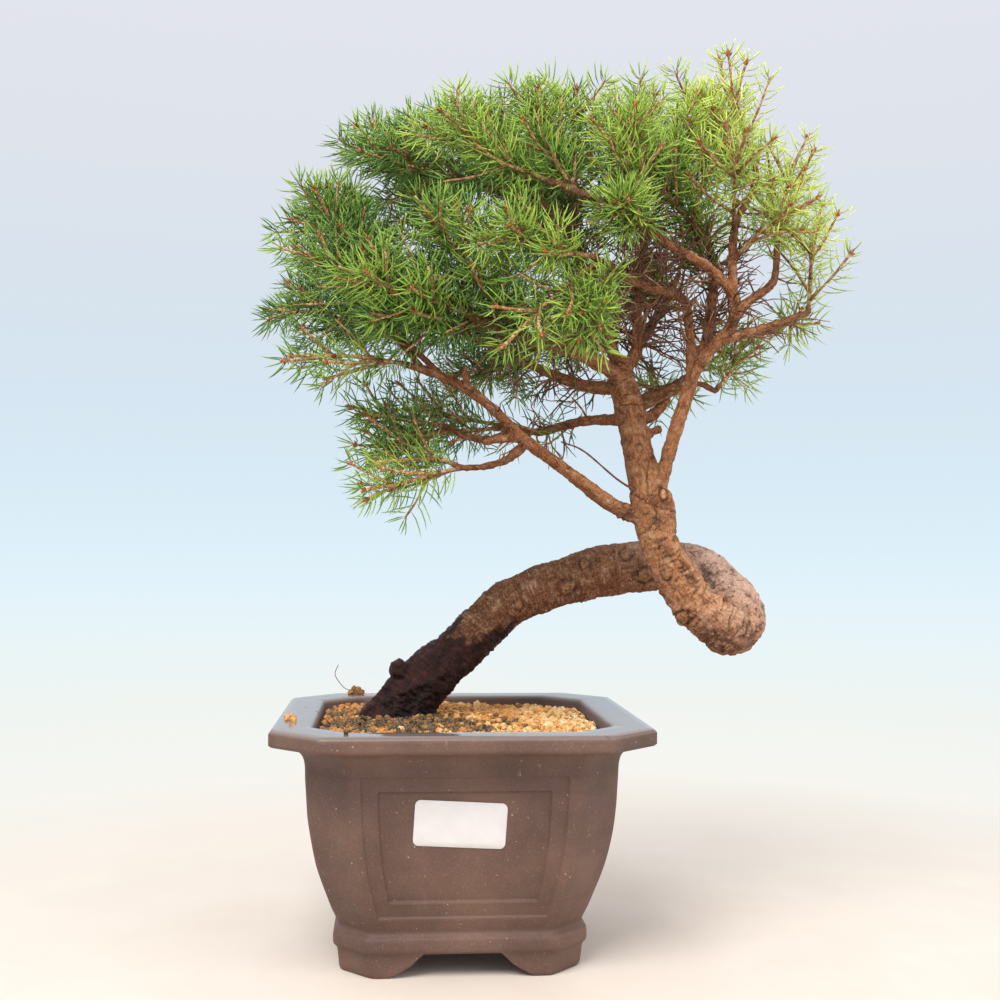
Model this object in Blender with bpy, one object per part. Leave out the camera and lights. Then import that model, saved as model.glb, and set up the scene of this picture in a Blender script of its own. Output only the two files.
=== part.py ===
"""A spruce bonsai with an arched, looping trunk, grown in a square clay pot with canted corners.

Lengths below are in millimetres, measured from the middle of the pot's underside: +X to the right of the
pot's front, +Y away from the front, +Z up. Meshes are made in metres, moved so that the origin lies under
the middle of the whole tree and pot.
"""
import math
import random

import bmesh
import bpy
import numpy as np

MM = 0.001
POT_PLACE = (-45.8, 5.5, 0.0)
TOUCH_GAP = 0.3
WELD = 0.0000001

# Pot, outside: height and half width of the body without its lip. Half widths are to the flat faces.
POT_PROFILE = (
    (0.0, 53.4), (2.0, 54.4), (10.0, 55.4), (12.0, 56.9), (17.5, 56.9), (20.2, 54.9), (30.0, 58.8),
    (48.0, 64.8), (66.0, 68.2), (84.0, 69.6), (93.0, 70.1), (97.5, 71.8), (100.2, 76.0), (101.4, 82.6),
    (102.6, 85.0), (107.4, 85.0), (109.0, 83.4),
)
# Pot, inside, from the opening down to the floor.
POT_INSIDE = (
    (109.0, 67.4), (107.6, 65.8), (96.0, 64.2), (70.0, 62.0), (48.0, 58.6), (30.0, 52.4), (18.0, 46.0),
)
RIM_HEIGHT = 109.0
FLOOR_TOP = 18.0
CANT_SHARE = 0.265
CANT_ROUNDING = 2.4
FOOT_GAP_HEIGHT = 11.0
FOOT_GAP_HALF_WIDTH = 18.0
FOOT_GAP_FLARE = 14.0
FOOT_GAP_STEPS = 3
DRAIN_HOLE_RADIUS = 11.0
DRAIN_HOLE_BOTTOM = 5.0
PANEL_STEPS = (
    # half width as a share of the wall's, bottom, top, depth
    (0.641, 27.0, 89.8, 1.2),
    (0.537, 34.2, 83.2, 2.6),
)
PANEL_BEND_HEIGHTS = (30.0, 48.0, 66.0)
CUT_OVERRUN = 3.0
CUTTER_REACH = 80.0

# Net over the drain hole.
NET_HALF_WIDTH = 21.0
NET_THICKNESS = 1.0
NET_CELLS = 4
NET_BAR = 2.2

# Soil of baked clay granules, mounded to the trunk.
SOIL_WALL_GAP = 0.4
SOIL_LEVEL = 103.2
SOIL_MOUND = 2.6
SOIL_MOUND_REACH = 60.0
SOIL_GRAIN = 1.3
SOIL_SCATTER = 0.16
SOIL_EDGE_DROP = 1.5
SOIL_BEND_LEVELS = (34.0, 60.0)
SOIL_ROUND_CELLS = 38
SOIL_ACROSS_CELLS = 6
SOIL_HOLE_GAP = 0.45
BURIED_TRUNK_POINTS = 7
SOIL_SEED = 78

# Blank label on the front panel.
LABEL_WIDTH = 40.0
LABEL_HEIGHT = 20.0
LABEL_THICKNESS = 0.35
LABEL_MIDDLE = (-2.0, 69.0)
LABEL_TURN = math.radians(-1.6)
LABEL_CORNER = 2.5
LABEL_BEND_HEIGHT = 66.0

# Trunk: a point is (x, y, z, radius). It leans out of the soil, loops back at the right and rises.
TRUNK = (
    (-47, 1, 76, 10.0), (-42, 4, 86, 13.5), (-36, 8, 97, 16.0), (-27, 11, 109, 15.0),
    (-16, 13, 123, 13.4), (2, 15, 139, 11.9), (26, 17, 161, 11.7), (52, 18, 171, 11.9),
    (77, 18, 178, 13.0), (102, 16, 180, 12.8), (119, 13, 178, 12.6), (131, 8, 169, 13.0),
    (136, -1, 160, 13.4), (134, -12, 153, 13.2), (127, -22, 151, 12.6), (117, -29, 157, 11.8),
    (106, -31, 166, 10.4), (95, -30, 185, 9.2), (91, -29, 197, 9.5), (90, -28, 207, 10.2),
    (87, -27, 216, 8.9), (83, -23, 236, 7.1), (80, -18, 256, 7.3), (77, -15, 270, 6.6),
    (77, -14, 281, 5.2),
)
# Roots that spread from the trunk's foot, sunk in the soil: route and radii.
ROOTS = (
    (((-36, 4, 100), (-46, -10, 97), (-55, -20, 88)), (9.0, 5.5, 2.5)),
    (((-34, 14, 100), (-44, 27, 96), (-52, 36, 86)), (9.0, 5.0, 2.5)),
    (((-30, 5, 103), (-22, -8, 98), (-12, -19, 89)), (8.5, 5.0, 2.5)),
    (((-40, 8, 97), (-52, 6, 93), (-56, 4, 83)), (9.5, 6.0, 3.0)),
)
TRUNK_SIDES = 10
ROOT_SIDES = 6
# Knots, cut stubs and snags: route and radii.
STUBS = (
    (((91, -32, 212), (92, -37, 213), (92, -40, 214)), (5.6, 4.8, 3.4)),
    (((80, -19, 249), (90, -17, 252), (95, -17, 256), (99, -17, 261)), (3.8, 3.0, 2.7, 2.5)),
    (((83, -22, 242), (90, -22, 244), (95, -22, 246)), (3.2, 2.2, 1.8)),
    (((-22, 9, 121), (-28, 6, 128), (-31, 4, 132)), (6.0, 4.6, 3.2)),
    (((1, -52, 258), (-1, -56, 265), (-1, -57, 269)), (2.0, 1.7, 1.5)),
    (((24, -45, 238), (13, -50, 237), (8, -52, 235)), (2.2, 1.9, 1.7)),
    (((86, -31, 213), (72, -36, 220), (55, -40, 233), (44, -43, 237)), (1.4, 1.0, 0.9, 0.8)),
)
# Each bough: its route, its radius at the foot and at the end, and the tip that its last shoot reaches.
BOUGHS = {
    "right": (((91, -28, 209), (94, -32, 225), (99, -34, 244), (104, -35, 260), (110, -34, 275),
               (120, -35, 287), (126, -37, 296), (125, -40, 307), (113, -46, 317), (102, -51, 322),
               (89, -56, 327), (77, -61, 334), (64, -63, 340), (51, -66, 345), (37, -69, 349)),
              3.9, 1.7, (-20, -74, 371)),
    "leader": (((125, -39, 304), (127, -31, 331), (130, -28, 346), (136, -25, 356), (141, -23, 367)),
               2.6, 1.4, (124, -18, 428)),
    "arm": (((121, -35, 287), (133, -31, 291), (141, -28, 293), (156, -21, 299), (169, -15, 305)),
            3.2, 1.5, (179, -9, 361)),
    "fan": (((126, -37, 297), (136, -29, 307), (146, -20, 314), (153, -13, 322), (156, -7, 340)),
            2.8, 1.4, (173, -4, 396)),
    "inner": (((106, -34, 268), (107, -31, 285), (105, -33, 297), (102, -37, 305), (90, -46, 307),
               (75, -56, 309), (65, -64, 312), (54, -71, 316)), 2.7, 1.6, (3, -84, 321)),
    "riser": (((110, -34, 275), (117, -26, 294), (120, -20, 309), (122, -18, 324), (117, -22, 335),
               (107, -27, 345)), 2.8, 1.6, (75, -40, 386)),
    "left": (((76, -16, 272), (67, -22, 275), (57, -29, 279), (44, -38, 281), (29, -49, 283),
              (14, -57, 286), (1, -64, 290)), 4.4, 1.8, (-57, -76, 303)),
    "left_back": (((77, -15, 266), (68, -6, 267), (58, 9, 271), (45, 26, 279), (28, 42, 291),
                   (7, 54, 307)), 3.8, 1.7, (-47, 68, 334)),
    "spire": (((77, -14, 272), (85, -11, 285), (86, -7, 301), (87, -3, 316), (89, -1, 334),
               (91, -4, 350)), 3.4, 1.6, (84, -10, 410)),
    "shoulder": (((76, -14, 275), (71, -14, 287), (66, -14, 304), (60, -15, 320), (51, -16, 339),
                  (38, -17, 354)), 3.6, 1.6, (-8, -14, 396)),
    "back_right": (((78, -14, 275), (90, 7, 291), (105, 27, 312), (116, 40, 331)), 3.0, 1.6,
                   (136, 64, 386)),
    "back": (((77, -14, 275), (76, 8, 290), (74, 30, 310), (66, 47, 330)), 3.0, 1.6, (40, 74, 384)),
    "low_back": (((80, -19, 250), (63, -5, 251), (53, 10, 250), (40, 27, 248), (23, 40, 252)),
                 3.0, 1.6, (-33, 60, 262)),
    "low_right": (((80, -18, 258), (102, 2, 268), (117, 20, 277)), 2.4, 1.5, (160, 49, 300)),
    "hook": (((82, -20, 254), (98, -20, 262), (108, -19, 267), (115, -18, 268), (122, -17, 265)),
             1.9, 1.3, (143, -7, 292)),
    "low_left": (((86, -29, 203), (71, -32, 208), (54, -38, 219), (38, -42, 230), (25, -46, 239),
                  (13, -49, 250), (2, -52, 258), (-13, -55, 265), (-26, -56, 269)), 4.1, 1.7,
                 (-87, -58, 271)),
    "hanging": (((29, -45, 236), (18, -46, 228), (8, -47, 225), (-2, -49, 224)), 2.0, 1.3,
                (-53, -50, 205)),
    "tucked": (((22, -47, 242), (12, -39, 238), (1, -31, 240), (-8, -26, 245)), 2.0, 1.3,
               (-58, -20, 250)),
}
# Side limbs that show on the crown's front and outline: the tip, and the bough that a limb must leave.
SIDE_LIMBS = (
    ((-49, -76, 295), "left"), ((-72, -44, 347), None), ((-49, -41, 369), None), ((-77, -54, 320), None),
    ((-79, -27, 341), None), ((-58, 5, 384), None), ((-94, 18, 306), None), ((-58, -10, 233), "tucked"),
    ((12, -97, 271), "inner"), ((46, -84, 277), "inner"), ((53, -24, 409), None), ((109, -9, 414), None),
    ((-1, 0, 405), None), ((122, -34, 381), "riser"), ((102, -27, 396), "riser"),
    ((176, 14, 303), None), ((-30, 22, 243), None), ((-52, -36, 236), "hanging"), ((-20, -80, 332), None),
    ((25, -60, 392), "right"),
)

# Crown: middle, half depth, and its reach seen from the front as (degrees from +X towards +Z, radius).
CROWN_MIDDLE = np.array((50.0, -5.0, 325.0))
CROWN_HALF_DEPTH = 88.0
CROWN_REACH = (
    (0, 137), (30, 146), (58, 122), (90, 92), (120, 97), (150, 122), (180, 137), (195, 147),
    (229, 150), (250, 95), (290, 70), (326, 96), (348, 136), (360, 137),
)
FILL_DIRECTIONS = 96
TIP_SPACING = 39.0

# Where side limbs start: the stretch of a bough that may bear them, as shares, and the spots' spacing.
LIMB_STRETCH = (0.3, 0.95)
SPOT_SPACING = 7.0
# A spot costs the limb's length, and more where the limb would sweep back, crowd, turn inwards or be short.
FORWARD_WANTED = 0.45
SWEPT_COST = 45.0
CROWD_REACH = 9.0
CROWD_COST = 30.0
OUTWARD_WANTED = 0.5
INWARD_COST = 50.0
LENGTH_WANTED = 40.0
SHORT_COST = 3.0

# Limbs and shoots.
SPRAY_LENGTH = 58.0
SPRAY_FOOT_RADIUS = 1.15
WOOD_STEP = 18.0
SHOOT_TIP_RADIUS = 0.9
LATERAL_RADII = (0.55, 0.88)
# Side shoots of a spray: place on its axis, length as a share of the axis, and turn round the axis.
LATERALS = (
    (0.07, 0.66, 0.0), (0.14, 0.60, 180.0), (0.46, 0.50, 10.0), (0.50, 0.50, 170.0), (0.52, 0.42, 90.0),
)
LATERAL_LEAN = (42.0, 56.0)
LATERAL_TURN = 30.0
LATERAL_LENGTH = (0.85, 1.12)
CLEARANCE = 0.6
BOUGH_END_WOOD = 2.0
SPRAY_STANDOFF = 4.0
LIMB_SHARE = 0.85
LIMB_RADIUS = 1.3
LIMB_RADIUS_GAIN = 0.012
CURVE_POINTS = 24
# Each new try aims a little wider or grows a little shorter than the last.
LIMB_TRIES = 40
AIM_SLACK = 0.35
LATERAL_TRIES = 14
TURN_SLACK = 0.15
TRY_SHORTENING = 0.96
LIMB_SEED = 5000
LATERAL_SEED = 10000

# Needles.
NEEDLE_LENGTH = 12.0
NEEDLE_ROOT_RADIUS = 0.38
NEEDLE_SPACING = 15.0
NEEDLE_LEAN = math.radians(58.0)
TIP_NEEDLE_LEAN = math.radians(22.0)
TIP_NEEDLE_INSET = 2.0
NEEDLE_CLEARANCE = 0.35
NEEDLE_TRIES = 6
NEEDLE_SEED = 20000
GOLDEN_TURN = math.pi * (3.0 - math.sqrt(5.0))

UP = np.array((0.0, 0.0, 1.0))
# A little off upright, so that a shoot that stands straight up still has a side.
NEARLY_UP = np.array((0.0013, -0.0001, 1.0))


def clear_scene():
    for item in list(bpy.data.objects):
        bpy.data.objects.remove(item, do_unlink=True)


def make_material(name, color, roughness, metallic=0.0):
    material = bpy.data.materials.new(name)
    material.use_nodes = True
    shader = material.node_tree.nodes["Principled BSDF"]
    shader.inputs["Base Color"].default_value = (*color, 1.0)
    shader.inputs["Roughness"].default_value = roughness
    shader.inputs["Metallic"].default_value = metallic
    material.diffuse_color = (*color, 1.0)
    return material


def make_object(name, points, faces, material):
    """A mesh object from points in millimetres, measured from the pot."""
    place = np.array(POT_PLACE)
    mesh = bpy.data.meshes.new(name)
    mesh.from_pydata([tuple((np.array(point) + place) * MM) for point in points], [], faces)
    mesh.validate()
    mesh.update()
    mesh.materials.append(material)
    item = bpy.data.objects.new(name, mesh)
    bpy.context.collection.objects.link(item)
    return item


def apply_boolean(base, others, operation, solver="EXACT"):
    """Join or cut base with other objects, apply it, and remove the others."""
    group = bpy.data.collections.new("operands")
    bpy.context.scene.collection.children.link(group)
    for other in others:
        for home in list(other.users_collection):
            home.objects.unlink(other)
        group.objects.link(other)
        other.hide_render = True
        other.display_type = "WIRE"
    step = base.modifiers.new("boolean", "BOOLEAN")
    step.operation = operation
    step.solver = solver
    step.operand_type = "COLLECTION"
    step.collection = group
    if solver == "EXACT":
        step.use_self = True
    bpy.context.view_layer.update()
    evaluated = base.evaluated_get(bpy.context.evaluated_depsgraph_get())
    result = bpy.data.meshes.new_from_object(evaluated)
    base.modifiers.remove(step)
    old = base.data
    base.data = result
    bpy.data.meshes.remove(old)
    for other in others:
        bpy.data.objects.remove(other, do_unlink=True)
    bpy.data.collections.remove(group)
    keep_one_body(base)


def keep_one_body(item):
    """Triangulate, and drop any scrap that a Boolean leaves beside the main body."""
    work = bmesh.new()
    work.from_mesh(item.data)
    bmesh.ops.remove_doubles(work, verts=work.verts, dist=WELD)
    bmesh.ops.triangulate(work, faces=work.faces)
    unseen = set(work.verts)
    bodies = []
    while unseen:
        stack = [unseen.pop()]
        body = set(stack)
        while stack:
            for edge in stack.pop().link_edges:
                for vert in edge.verts:
                    if vert in unseen:
                        unseen.discard(vert)
                        body.add(vert)
                        stack.append(vert)
        bodies.append(body)
    bodies.sort(key=len, reverse=True)
    scraps = [vert for body in bodies[1:] for vert in body]
    bmesh.ops.delete(work, geom=scraps, context="VERTS")
    work.to_mesh(item.data)
    work.free()
    item.data.update()


def shade_round(item, sharp_degrees=40.0):
    item.data.shade_smooth()
    item.data.set_sharp_from_angle(angle=math.radians(sharp_degrees))


def unit(vector):
    return vector / np.linalg.norm(vector)


def line_length(points):
    return float(sum(np.linalg.norm(b - a) for a, b in zip(points[:-1], points[1:])))


def along(points, distance):
    """The point of a line that lies a distance from its start."""
    for a, b in zip(points[:-1], points[1:]):
        step = np.linalg.norm(b - a)
        if distance <= step:
            return a + (b - a) * (distance / step)
        distance -= step
    return points[-1]


def heading(points, distance, reach=3.0):
    return unit(along(points, distance + reach) - along(points, max(0.0, distance - reach)))


def cut_line(points, start, end, pieces):
    """Evenly spaced points of a line between two distances from its start."""
    return [along(points, start + (end - start) * i / pieces) for i in range(pieces + 1)]


def taper(start, end, count):
    return [start + (end - start) * i / (count - 1) for i in range(count)]


def bezier(a, b, c, d, count=CURVE_POINTS):
    line = []
    for i in range(count + 1):
        t = i / count
        u = 1.0 - t
        line.append(u ** 3 * a + 3 * u * u * t * b + 3 * u * t * t * c + t ** 3 * d)
    return line


class Rods:
    """Every round rod placed so far, for keeping new ones clear of those of other owners."""

    def __init__(self):
        self.start = []
        self.end = []
        self.radius = []
        self.owner = []

    def add(self, points, radii, owner):
        for i in range(len(points) - 1):
            self.start.append(points[i])
            self.end.append(points[i + 1])
            self.radius.append(max(radii[i], radii[i + 1]))
            self.owner.append(owner)

    def gap(self, a, b, radius, owner):
        keep = np.array(self.owner) != owner
        if not keep.any():
            return math.inf
        start = np.array(self.start)[keep]
        run = np.array(self.end)[keep] - start
        own = b - a
        offset = a - start
        own_square = own @ own
        run_square = np.maximum((run * run).sum(1), 1e-9)
        cross = run @ own
        own_off = offset @ own
        run_off = (run * offset).sum(1)
        spread = np.maximum(own_square * run_square - cross * cross, 1e-9)
        s = np.clip((cross * run_off - own_off * run_square) / spread, 0.0, 1.0)
        t = np.clip((cross * s + run_off) / run_square, 0.0, 1.0)
        s = np.clip((cross * t - own_off) / own_square, 0.0, 1.0)
        apart = a + s[:, None] * own - start - t[:, None] * run
        distance = np.sqrt((apart * apart).sum(1))
        return float((distance - np.array(self.radius)[keep]).min() - radius)

    def line_gap(self, points, radii, owner):
        return min(self.gap(points[i], points[i + 1], max(radii[i], radii[i + 1]), owner)
                   for i in range(len(points) - 1))


def crown_tip(direction):
    """The point of the crown's outline that lies in a direction from its middle."""
    angle = math.degrees(math.atan2(direction[2], direction[0])) % 360.0
    reach = np.interp(angle, [row[0] for row in CROWN_REACH], [row[1] for row in CROWN_REACH])
    half_sizes = np.array((reach, CROWN_HALF_DEPTH, reach))
    return CROWN_MIDDLE + half_sizes * direction


def in_open_window(direction):
    """The bare hollow where the forks show, low in front and on the right, and the open underside."""
    angle = math.degrees(math.atan2(direction[2], direction[0])) % 360.0
    if direction[1] < -0.1 and (angle > 215.0 or angle < 12.0):
        return True
    return direction[2] < -0.5 and not 190.0 < angle < 238.0


def fill_tips(tips):
    """Tips spread evenly over the rest of the crown, at least one spacing from those there are."""
    found = list(tips)
    for index in range(FILL_DIRECTIONS):
        height = 1.0 - 2.0 * (index + 0.5) / FILL_DIRECTIONS
        turn = index * GOLDEN_TURN
        flat = math.sqrt(1.0 - height * height)
        direction = np.array((flat * math.cos(turn), flat * math.sin(turn), height))
        if in_open_window(direction):
            continue
        tip = crown_tip(direction)
        if min(np.linalg.norm(tip - other) for other in found) >= TIP_SPACING:
            found.append(tip)
    return found[len(tips):]


def bough_line(name):
    """Points and radii of a bough."""
    route, thick, thin, tip = BOUGHS[name]
    points = [np.array(point, float) for point in route]
    total = line_length(points)
    radii = [thick + (thin - thick) * line_length(points[:i + 1]) / total for i in range(len(points))]
    return points, radii


def attach_spots():
    """Places on the boughs where a side limb may grow: bough, point, heading and bough radius."""
    spots = []
    for name in BOUGHS:
        points, radii = bough_line(name)
        total = line_length(points)
        count = max(2, int(total / SPOT_SPACING))
        for share in np.linspace(*LIMB_STRETCH, count):
            radius = radii[0] + (radii[-1] - radii[0]) * share
            spots.append((name, along(points, total * share), heading(points, total * share, 4.0), radius))
    return spots


def pick_foot(tip, bough, spots, used):
    """The spot that reaches a tip with a short limb, a natural forward angle and room round it."""
    best_cost = math.inf
    best = None
    outward = unit(tip - CROWN_MIDDLE)
    for name, point, ahead, radius in spots:
        if bough is not None and name != bough:
            continue
        reach = tip - point
        length = np.linalg.norm(reach)
        forward = float(unit(reach) @ ahead)
        crowd = sum(1 for other in used if np.linalg.norm(other - point) < CROWD_REACH)
        cost = length + CROWD_COST * crowd
        cost += SWEPT_COST * max(0.0, FORWARD_WANTED - forward)
        cost += INWARD_COST * max(0.0, OUTWARD_WANTED - float(unit(reach) @ outward))
        cost += SHORT_COST * max(0.0, LENGTH_WANTED - length)
        if cost < best_cost:
            best_cost = cost
            best = (point, ahead, radius)
    return best


def limb_curve(foot, ahead, tip, swing):
    """A limb leaves its bough forward of square, then turns outwards to its tip."""
    reach = tip - foot
    length = np.linalg.norm(reach)
    leave = unit(0.45 * ahead + 0.9 * unit(reach) + 0.25 * swing)
    arrive = unit(0.75 * unit(reach) + 0.5 * unit(tip - CROWN_MIDDLE))
    return bezier(foot, foot + leave * length * 0.34, tip - arrive * length * 0.3, tip)


def limb_goals():
    """Where every limb starts and ends: the boughs' own ends first, then the side limbs."""
    goals = []
    for name, (route, thick, thin, tip) in BOUGHS.items():
        points, radii = bough_line(name)
        goals.append((points[-1], unit(points[-1] - points[-2]), thin, np.array(tip, float), name))
    tips = [goal[3] for goal in goals]
    tips += [np.array(tip, float) for tip, bough in SIDE_LIMBS]
    sides = [(np.array(tip, float), bough) for tip, bough in SIDE_LIMBS]
    sides += [(tip, None) for tip in fill_tips(tips)]
    spots = attach_spots()
    used = []
    for tip, bough in sides:
        foot, ahead, radius = pick_foot(tip, bough, spots, used)
        used.append(foot)
        goals.append((foot, ahead, radius, tip, None))
    return goals


def try_limb(goal, rng, slack):
    """One limb: its wood, which stays on the tree, and beyond a small gap the axis of its spray."""
    foot, ahead, radius, tip, bough = goal
    aim = tip + np.array([rng.uniform(-slack, slack) for axis in range(3)])
    swing = np.array([rng.uniform(-1.0, 1.0) for axis in range(3)])
    curve = limb_curve(foot, ahead, aim, swing)
    total = line_length(curve)
    start = max(BOUGH_END_WOOD if bough else radius + SPRAY_STANDOFF, total - SPRAY_LENGTH)
    wood = cut_line(curve, 0.0, start, max(1, round(start / WOOD_STEP)))
    thick = radius if bough else min(radius * LIMB_SHARE, LIMB_RADIUS + LIMB_RADIUS_GAIN * total)
    wood_radii = taper(max(thick, SPRAY_FOOT_RADIUS), SPRAY_FOOT_RADIUS, len(wood))
    axis = cut_line(curve, start + TOUCH_GAP, total, 3)
    axis_radii = taper(SPRAY_FOOT_RADIUS, SHOOT_TIP_RADIUS, len(axis))
    return wood, wood_radii, axis, axis_radii


def grow_limbs(rods):
    """Every limb, re-aimed a little until it is clear of what stands already."""
    limbs = []
    for index, goal in enumerate(limb_goals()):
        rng = random.Random(LIMB_SEED + index)
        owner = "spray_%02d" % (index + 1)
        best_gap = -math.inf
        for attempt in range(LIMB_TRIES):
            limb = try_limb(goal, rng, AIM_SLACK * attempt)
            wood, wood_radii, axis, axis_radii = limb
            first = 1 if goal[4] else 0
            gap = min(rods.line_gap(axis[first:], axis_radii[first:], owner),
                      rods.line_gap(wood, wood_radii, "tree"))
            if gap > best_gap:
                best_gap = gap
                best = limb
            if gap > CLEARANCE:
                break
        wood, wood_radii, axis, axis_radii = best
        rods.add(wood, wood_radii, "tree")
        rods.add(axis, axis_radii, owner)
        limb = {"name": owner, "bough": goal[4], "wood": (wood, wood_radii), "axis": (axis, axis_radii)}
        limbs.append(limb)
    return limbs


def try_lateral(axis, place, share, turn, rng, attempt):
    """One side shoot: it leaves the axis forward at about 45 degrees."""
    total = line_length(axis)
    foot = along(axis, total * place)
    ahead = heading(axis, total * place)
    side = unit(np.cross(ahead, NEARLY_UP))
    rise = np.cross(side, ahead)
    angle = math.radians(turn + rng.uniform(-LATERAL_TURN, LATERAL_TURN) * (1.0 + TURN_SLACK * attempt))
    lean = math.radians(rng.uniform(*LATERAL_LEAN))
    run = total * share * rng.uniform(*LATERAL_LENGTH) * TRY_SHORTENING ** attempt
    out = side * math.cos(angle) + rise * math.sin(angle)
    way = unit(ahead * math.cos(lean) + out * math.sin(lean))
    return [foot, foot + unit(way + 0.15 * ahead) * run]


def grow_laterals(limbs, rods):
    """The side shoots of every spray, each left out if it finds no room."""
    radii = list(LATERAL_RADII)
    for index, limb in enumerate(limbs):
        rng = random.Random(LATERAL_SEED + index)
        limb["laterals"] = []
        for place, share, turn in LATERALS:
            for attempt in range(LATERAL_TRIES):
                line = try_lateral(limb["axis"][0], place, share, turn, rng, attempt)
                if rods.line_gap(line, radii, limb["name"]) > CLEARANCE:
                    rods.add(line, radii, limb["name"])
                    limb["laterals"].append((line, radii))
                    break


def needle_line(points, distance, turn, lean, length):
    """A needle's root, on the shoot's middle line, and its tip."""
    root = along(points, distance)
    ahead = heading(points, distance)
    start = UP if abs(unit(points[1] - points[0])[2]) < 0.9 else np.array((1.0, 0.0, 0.0))
    across = unit(start - ahead * float(start @ ahead))
    out = across * math.cos(turn) + np.cross(ahead, across) * math.sin(turn)
    return root, root + (ahead * math.cos(lean) + out * math.sin(lean)) * length


def grow_needles(limbs, rods):
    """Needles from all three faces of every shoot and one at its tip, kept off the other sprays."""
    for index, limb in enumerate(limbs):
        rng = random.Random(NEEDLE_SEED + index)
        limb["needles"] = []
        for points, radii in [limb["axis"]] + limb["laterals"]:
            total = line_length(points)
            count = max(2, round(total / NEEDLE_SPACING))
            first_face = rng.randrange(3)
            for i in range(count):
                at_tip = i == count - 1
                distance = total - TIP_NEEDLE_INSET if at_tip else total * (i + 0.8) / count
                lean = TIP_NEEDLE_LEAN if at_tip else NEEDLE_LEAN
                for attempt in range(NEEDLE_TRIES):
                    face_turn = math.radians(60.0 + 120.0 * (first_face + i + attempt))
                    turn = face_turn + rng.uniform(-0.35, 0.35)
                    length = NEEDLE_LENGTH * rng.uniform(0.9, 1.08)
                    root, tip = needle_line(points, distance, turn, lean, length)
                    if rods.gap(root, tip, NEEDLE_ROOT_RADIUS, limb["name"]) > NEEDLE_CLEARANCE:
                        rods.add([root, tip], [NEEDLE_ROOT_RADIUS, NEEDLE_ROOT_RADIUS], limb["name"])
                        limb["needles"].append((root, tip))
                        break


def tube_mesh(points, radii, sides):
    """A closed tube along a line, its rings carried along without twisting."""
    points = [np.array(point, float) for point in points]
    headings = []
    for i in range(len(points)):
        back = points[max(i - 1, 0)]
        front = points[min(i + 1, len(points) - 1)]
        headings.append(unit(front - back))
    start = UP if abs(headings[0][2]) < 0.9 else np.array((1.0, 0.0, 0.0))
    across = unit(start - headings[0] * float(start @ headings[0]))
    verts = []
    for point, way, radius in zip(points, headings, radii):
        across = unit(across - way * float(across @ way))
        over = np.cross(way, across)
        for k in range(sides):
            angle = 2.0 * math.pi * k / sides
            verts.append(point + (across * math.cos(angle) + over * math.sin(angle)) * radius)
    faces = [tuple(reversed(range(sides)))]
    for i in range(len(points) - 1):
        for k in range(sides):
            a = i * sides + k
            b = i * sides + (k + 1) % sides
            faces.append((a, b, b + sides, a + sides))
    last = (len(points) - 1) * sides
    faces.append(tuple(range(last, last + sides)))
    return verts, faces


def tube(name, points, radii, sides, material):
    verts, faces = tube_mesh(points, radii, sides)
    return make_object(name, verts, faces, material)


def needle(name, root, tip, material):
    """A slim three-sided spike."""
    way = unit(tip - root)
    across = unit(np.cross(way, NEARLY_UP))
    over = np.cross(way, across)
    verts = []
    for k in range(3):
        angle = 2.0 * math.pi * k / 3.0
        verts.append(root + (across * math.cos(angle) + over * math.sin(angle)) * NEEDLE_ROOT_RADIUS)
    verts.append(tip)
    return make_object(name, verts, [(2, 1, 0), (0, 1, 3), (1, 2, 3), (2, 0, 3)], material)


def canted_ring(half_width, height, rounding=CANT_ROUNDING):
    """A square with canted corners, each of the eight corners eased by a short flat."""
    cant = half_width * CANT_SHARE
    short = half_width - cant
    corners = []
    for quarter in range(4):
        angle = quarter * math.pi / 2.0
        for x, y in ((half_width, -short), (half_width, short)):
            across = x * math.cos(angle) - y * math.sin(angle)
            back = x * math.sin(angle) + y * math.cos(angle)
            corners.append((across, back))
    ring = []
    for i, corner in enumerate(corners):
        here = np.array(corner)
        before = unit(np.array(corners[i - 1]) - here)
        after = unit(np.array(corners[(i + 1) % len(corners)]) - here)
        for way in (before, after):
            x, y = here + way * rounding
            ring.append((x, y, height))
    return ring


def stacked_rings(name, rings, material):
    """A closed solid from rings with the same number of points, the lowest or first one first."""
    count = len(rings[0])
    verts = [point for ring in rings for point in ring]
    faces = [tuple(reversed(range(count)))]
    for i in range(len(rings) - 1):
        for k in range(count):
            a = i * count + k
            b = i * count + (k + 1) % count
            faces.append((a, b, b + count, a + count))
    last = (len(rings) - 1) * count
    faces.append(tuple(range(last, last + count)))
    return make_object(name, verts, faces, material)


def wall_at(height):
    """Half width of the pot's outer wall at a height."""
    return float(np.interp(height, [row[0] for row in POT_PROFILE], [row[1] for row in POT_PROFILE]))


def turned(points, quarter):
    """Points turned by quarters about the pot's axis."""
    angle = quarter * math.pi / 2.0
    return [(x * math.cos(angle) - y * math.sin(angle), x * math.sin(angle) + y * math.cos(angle), z)
            for x, y, z in points]


def panel_cutter(width_share, bottom, top, depth, quarter, material):
    """A block that narrows with the wall, and whose inner side follows the wall's curve at a depth."""
    heights = [bottom] + [z for z in PANEL_BEND_HEIGHTS if bottom < z < top] + [top]
    rings = []
    for z in heights:
        inner = -(wall_at(z) - depth)
        outer = -(wall_at(z) + CUT_OVERRUN)
        half_width = width_share * wall_at(z)
        corners = ((-half_width, outer), (half_width, outer), (half_width, inner), (-half_width, inner))
        rings.append(turned([(x, y, z) for x, y in corners], quarter))
    return stacked_rings("panel_cutter", rings, material)


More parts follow.
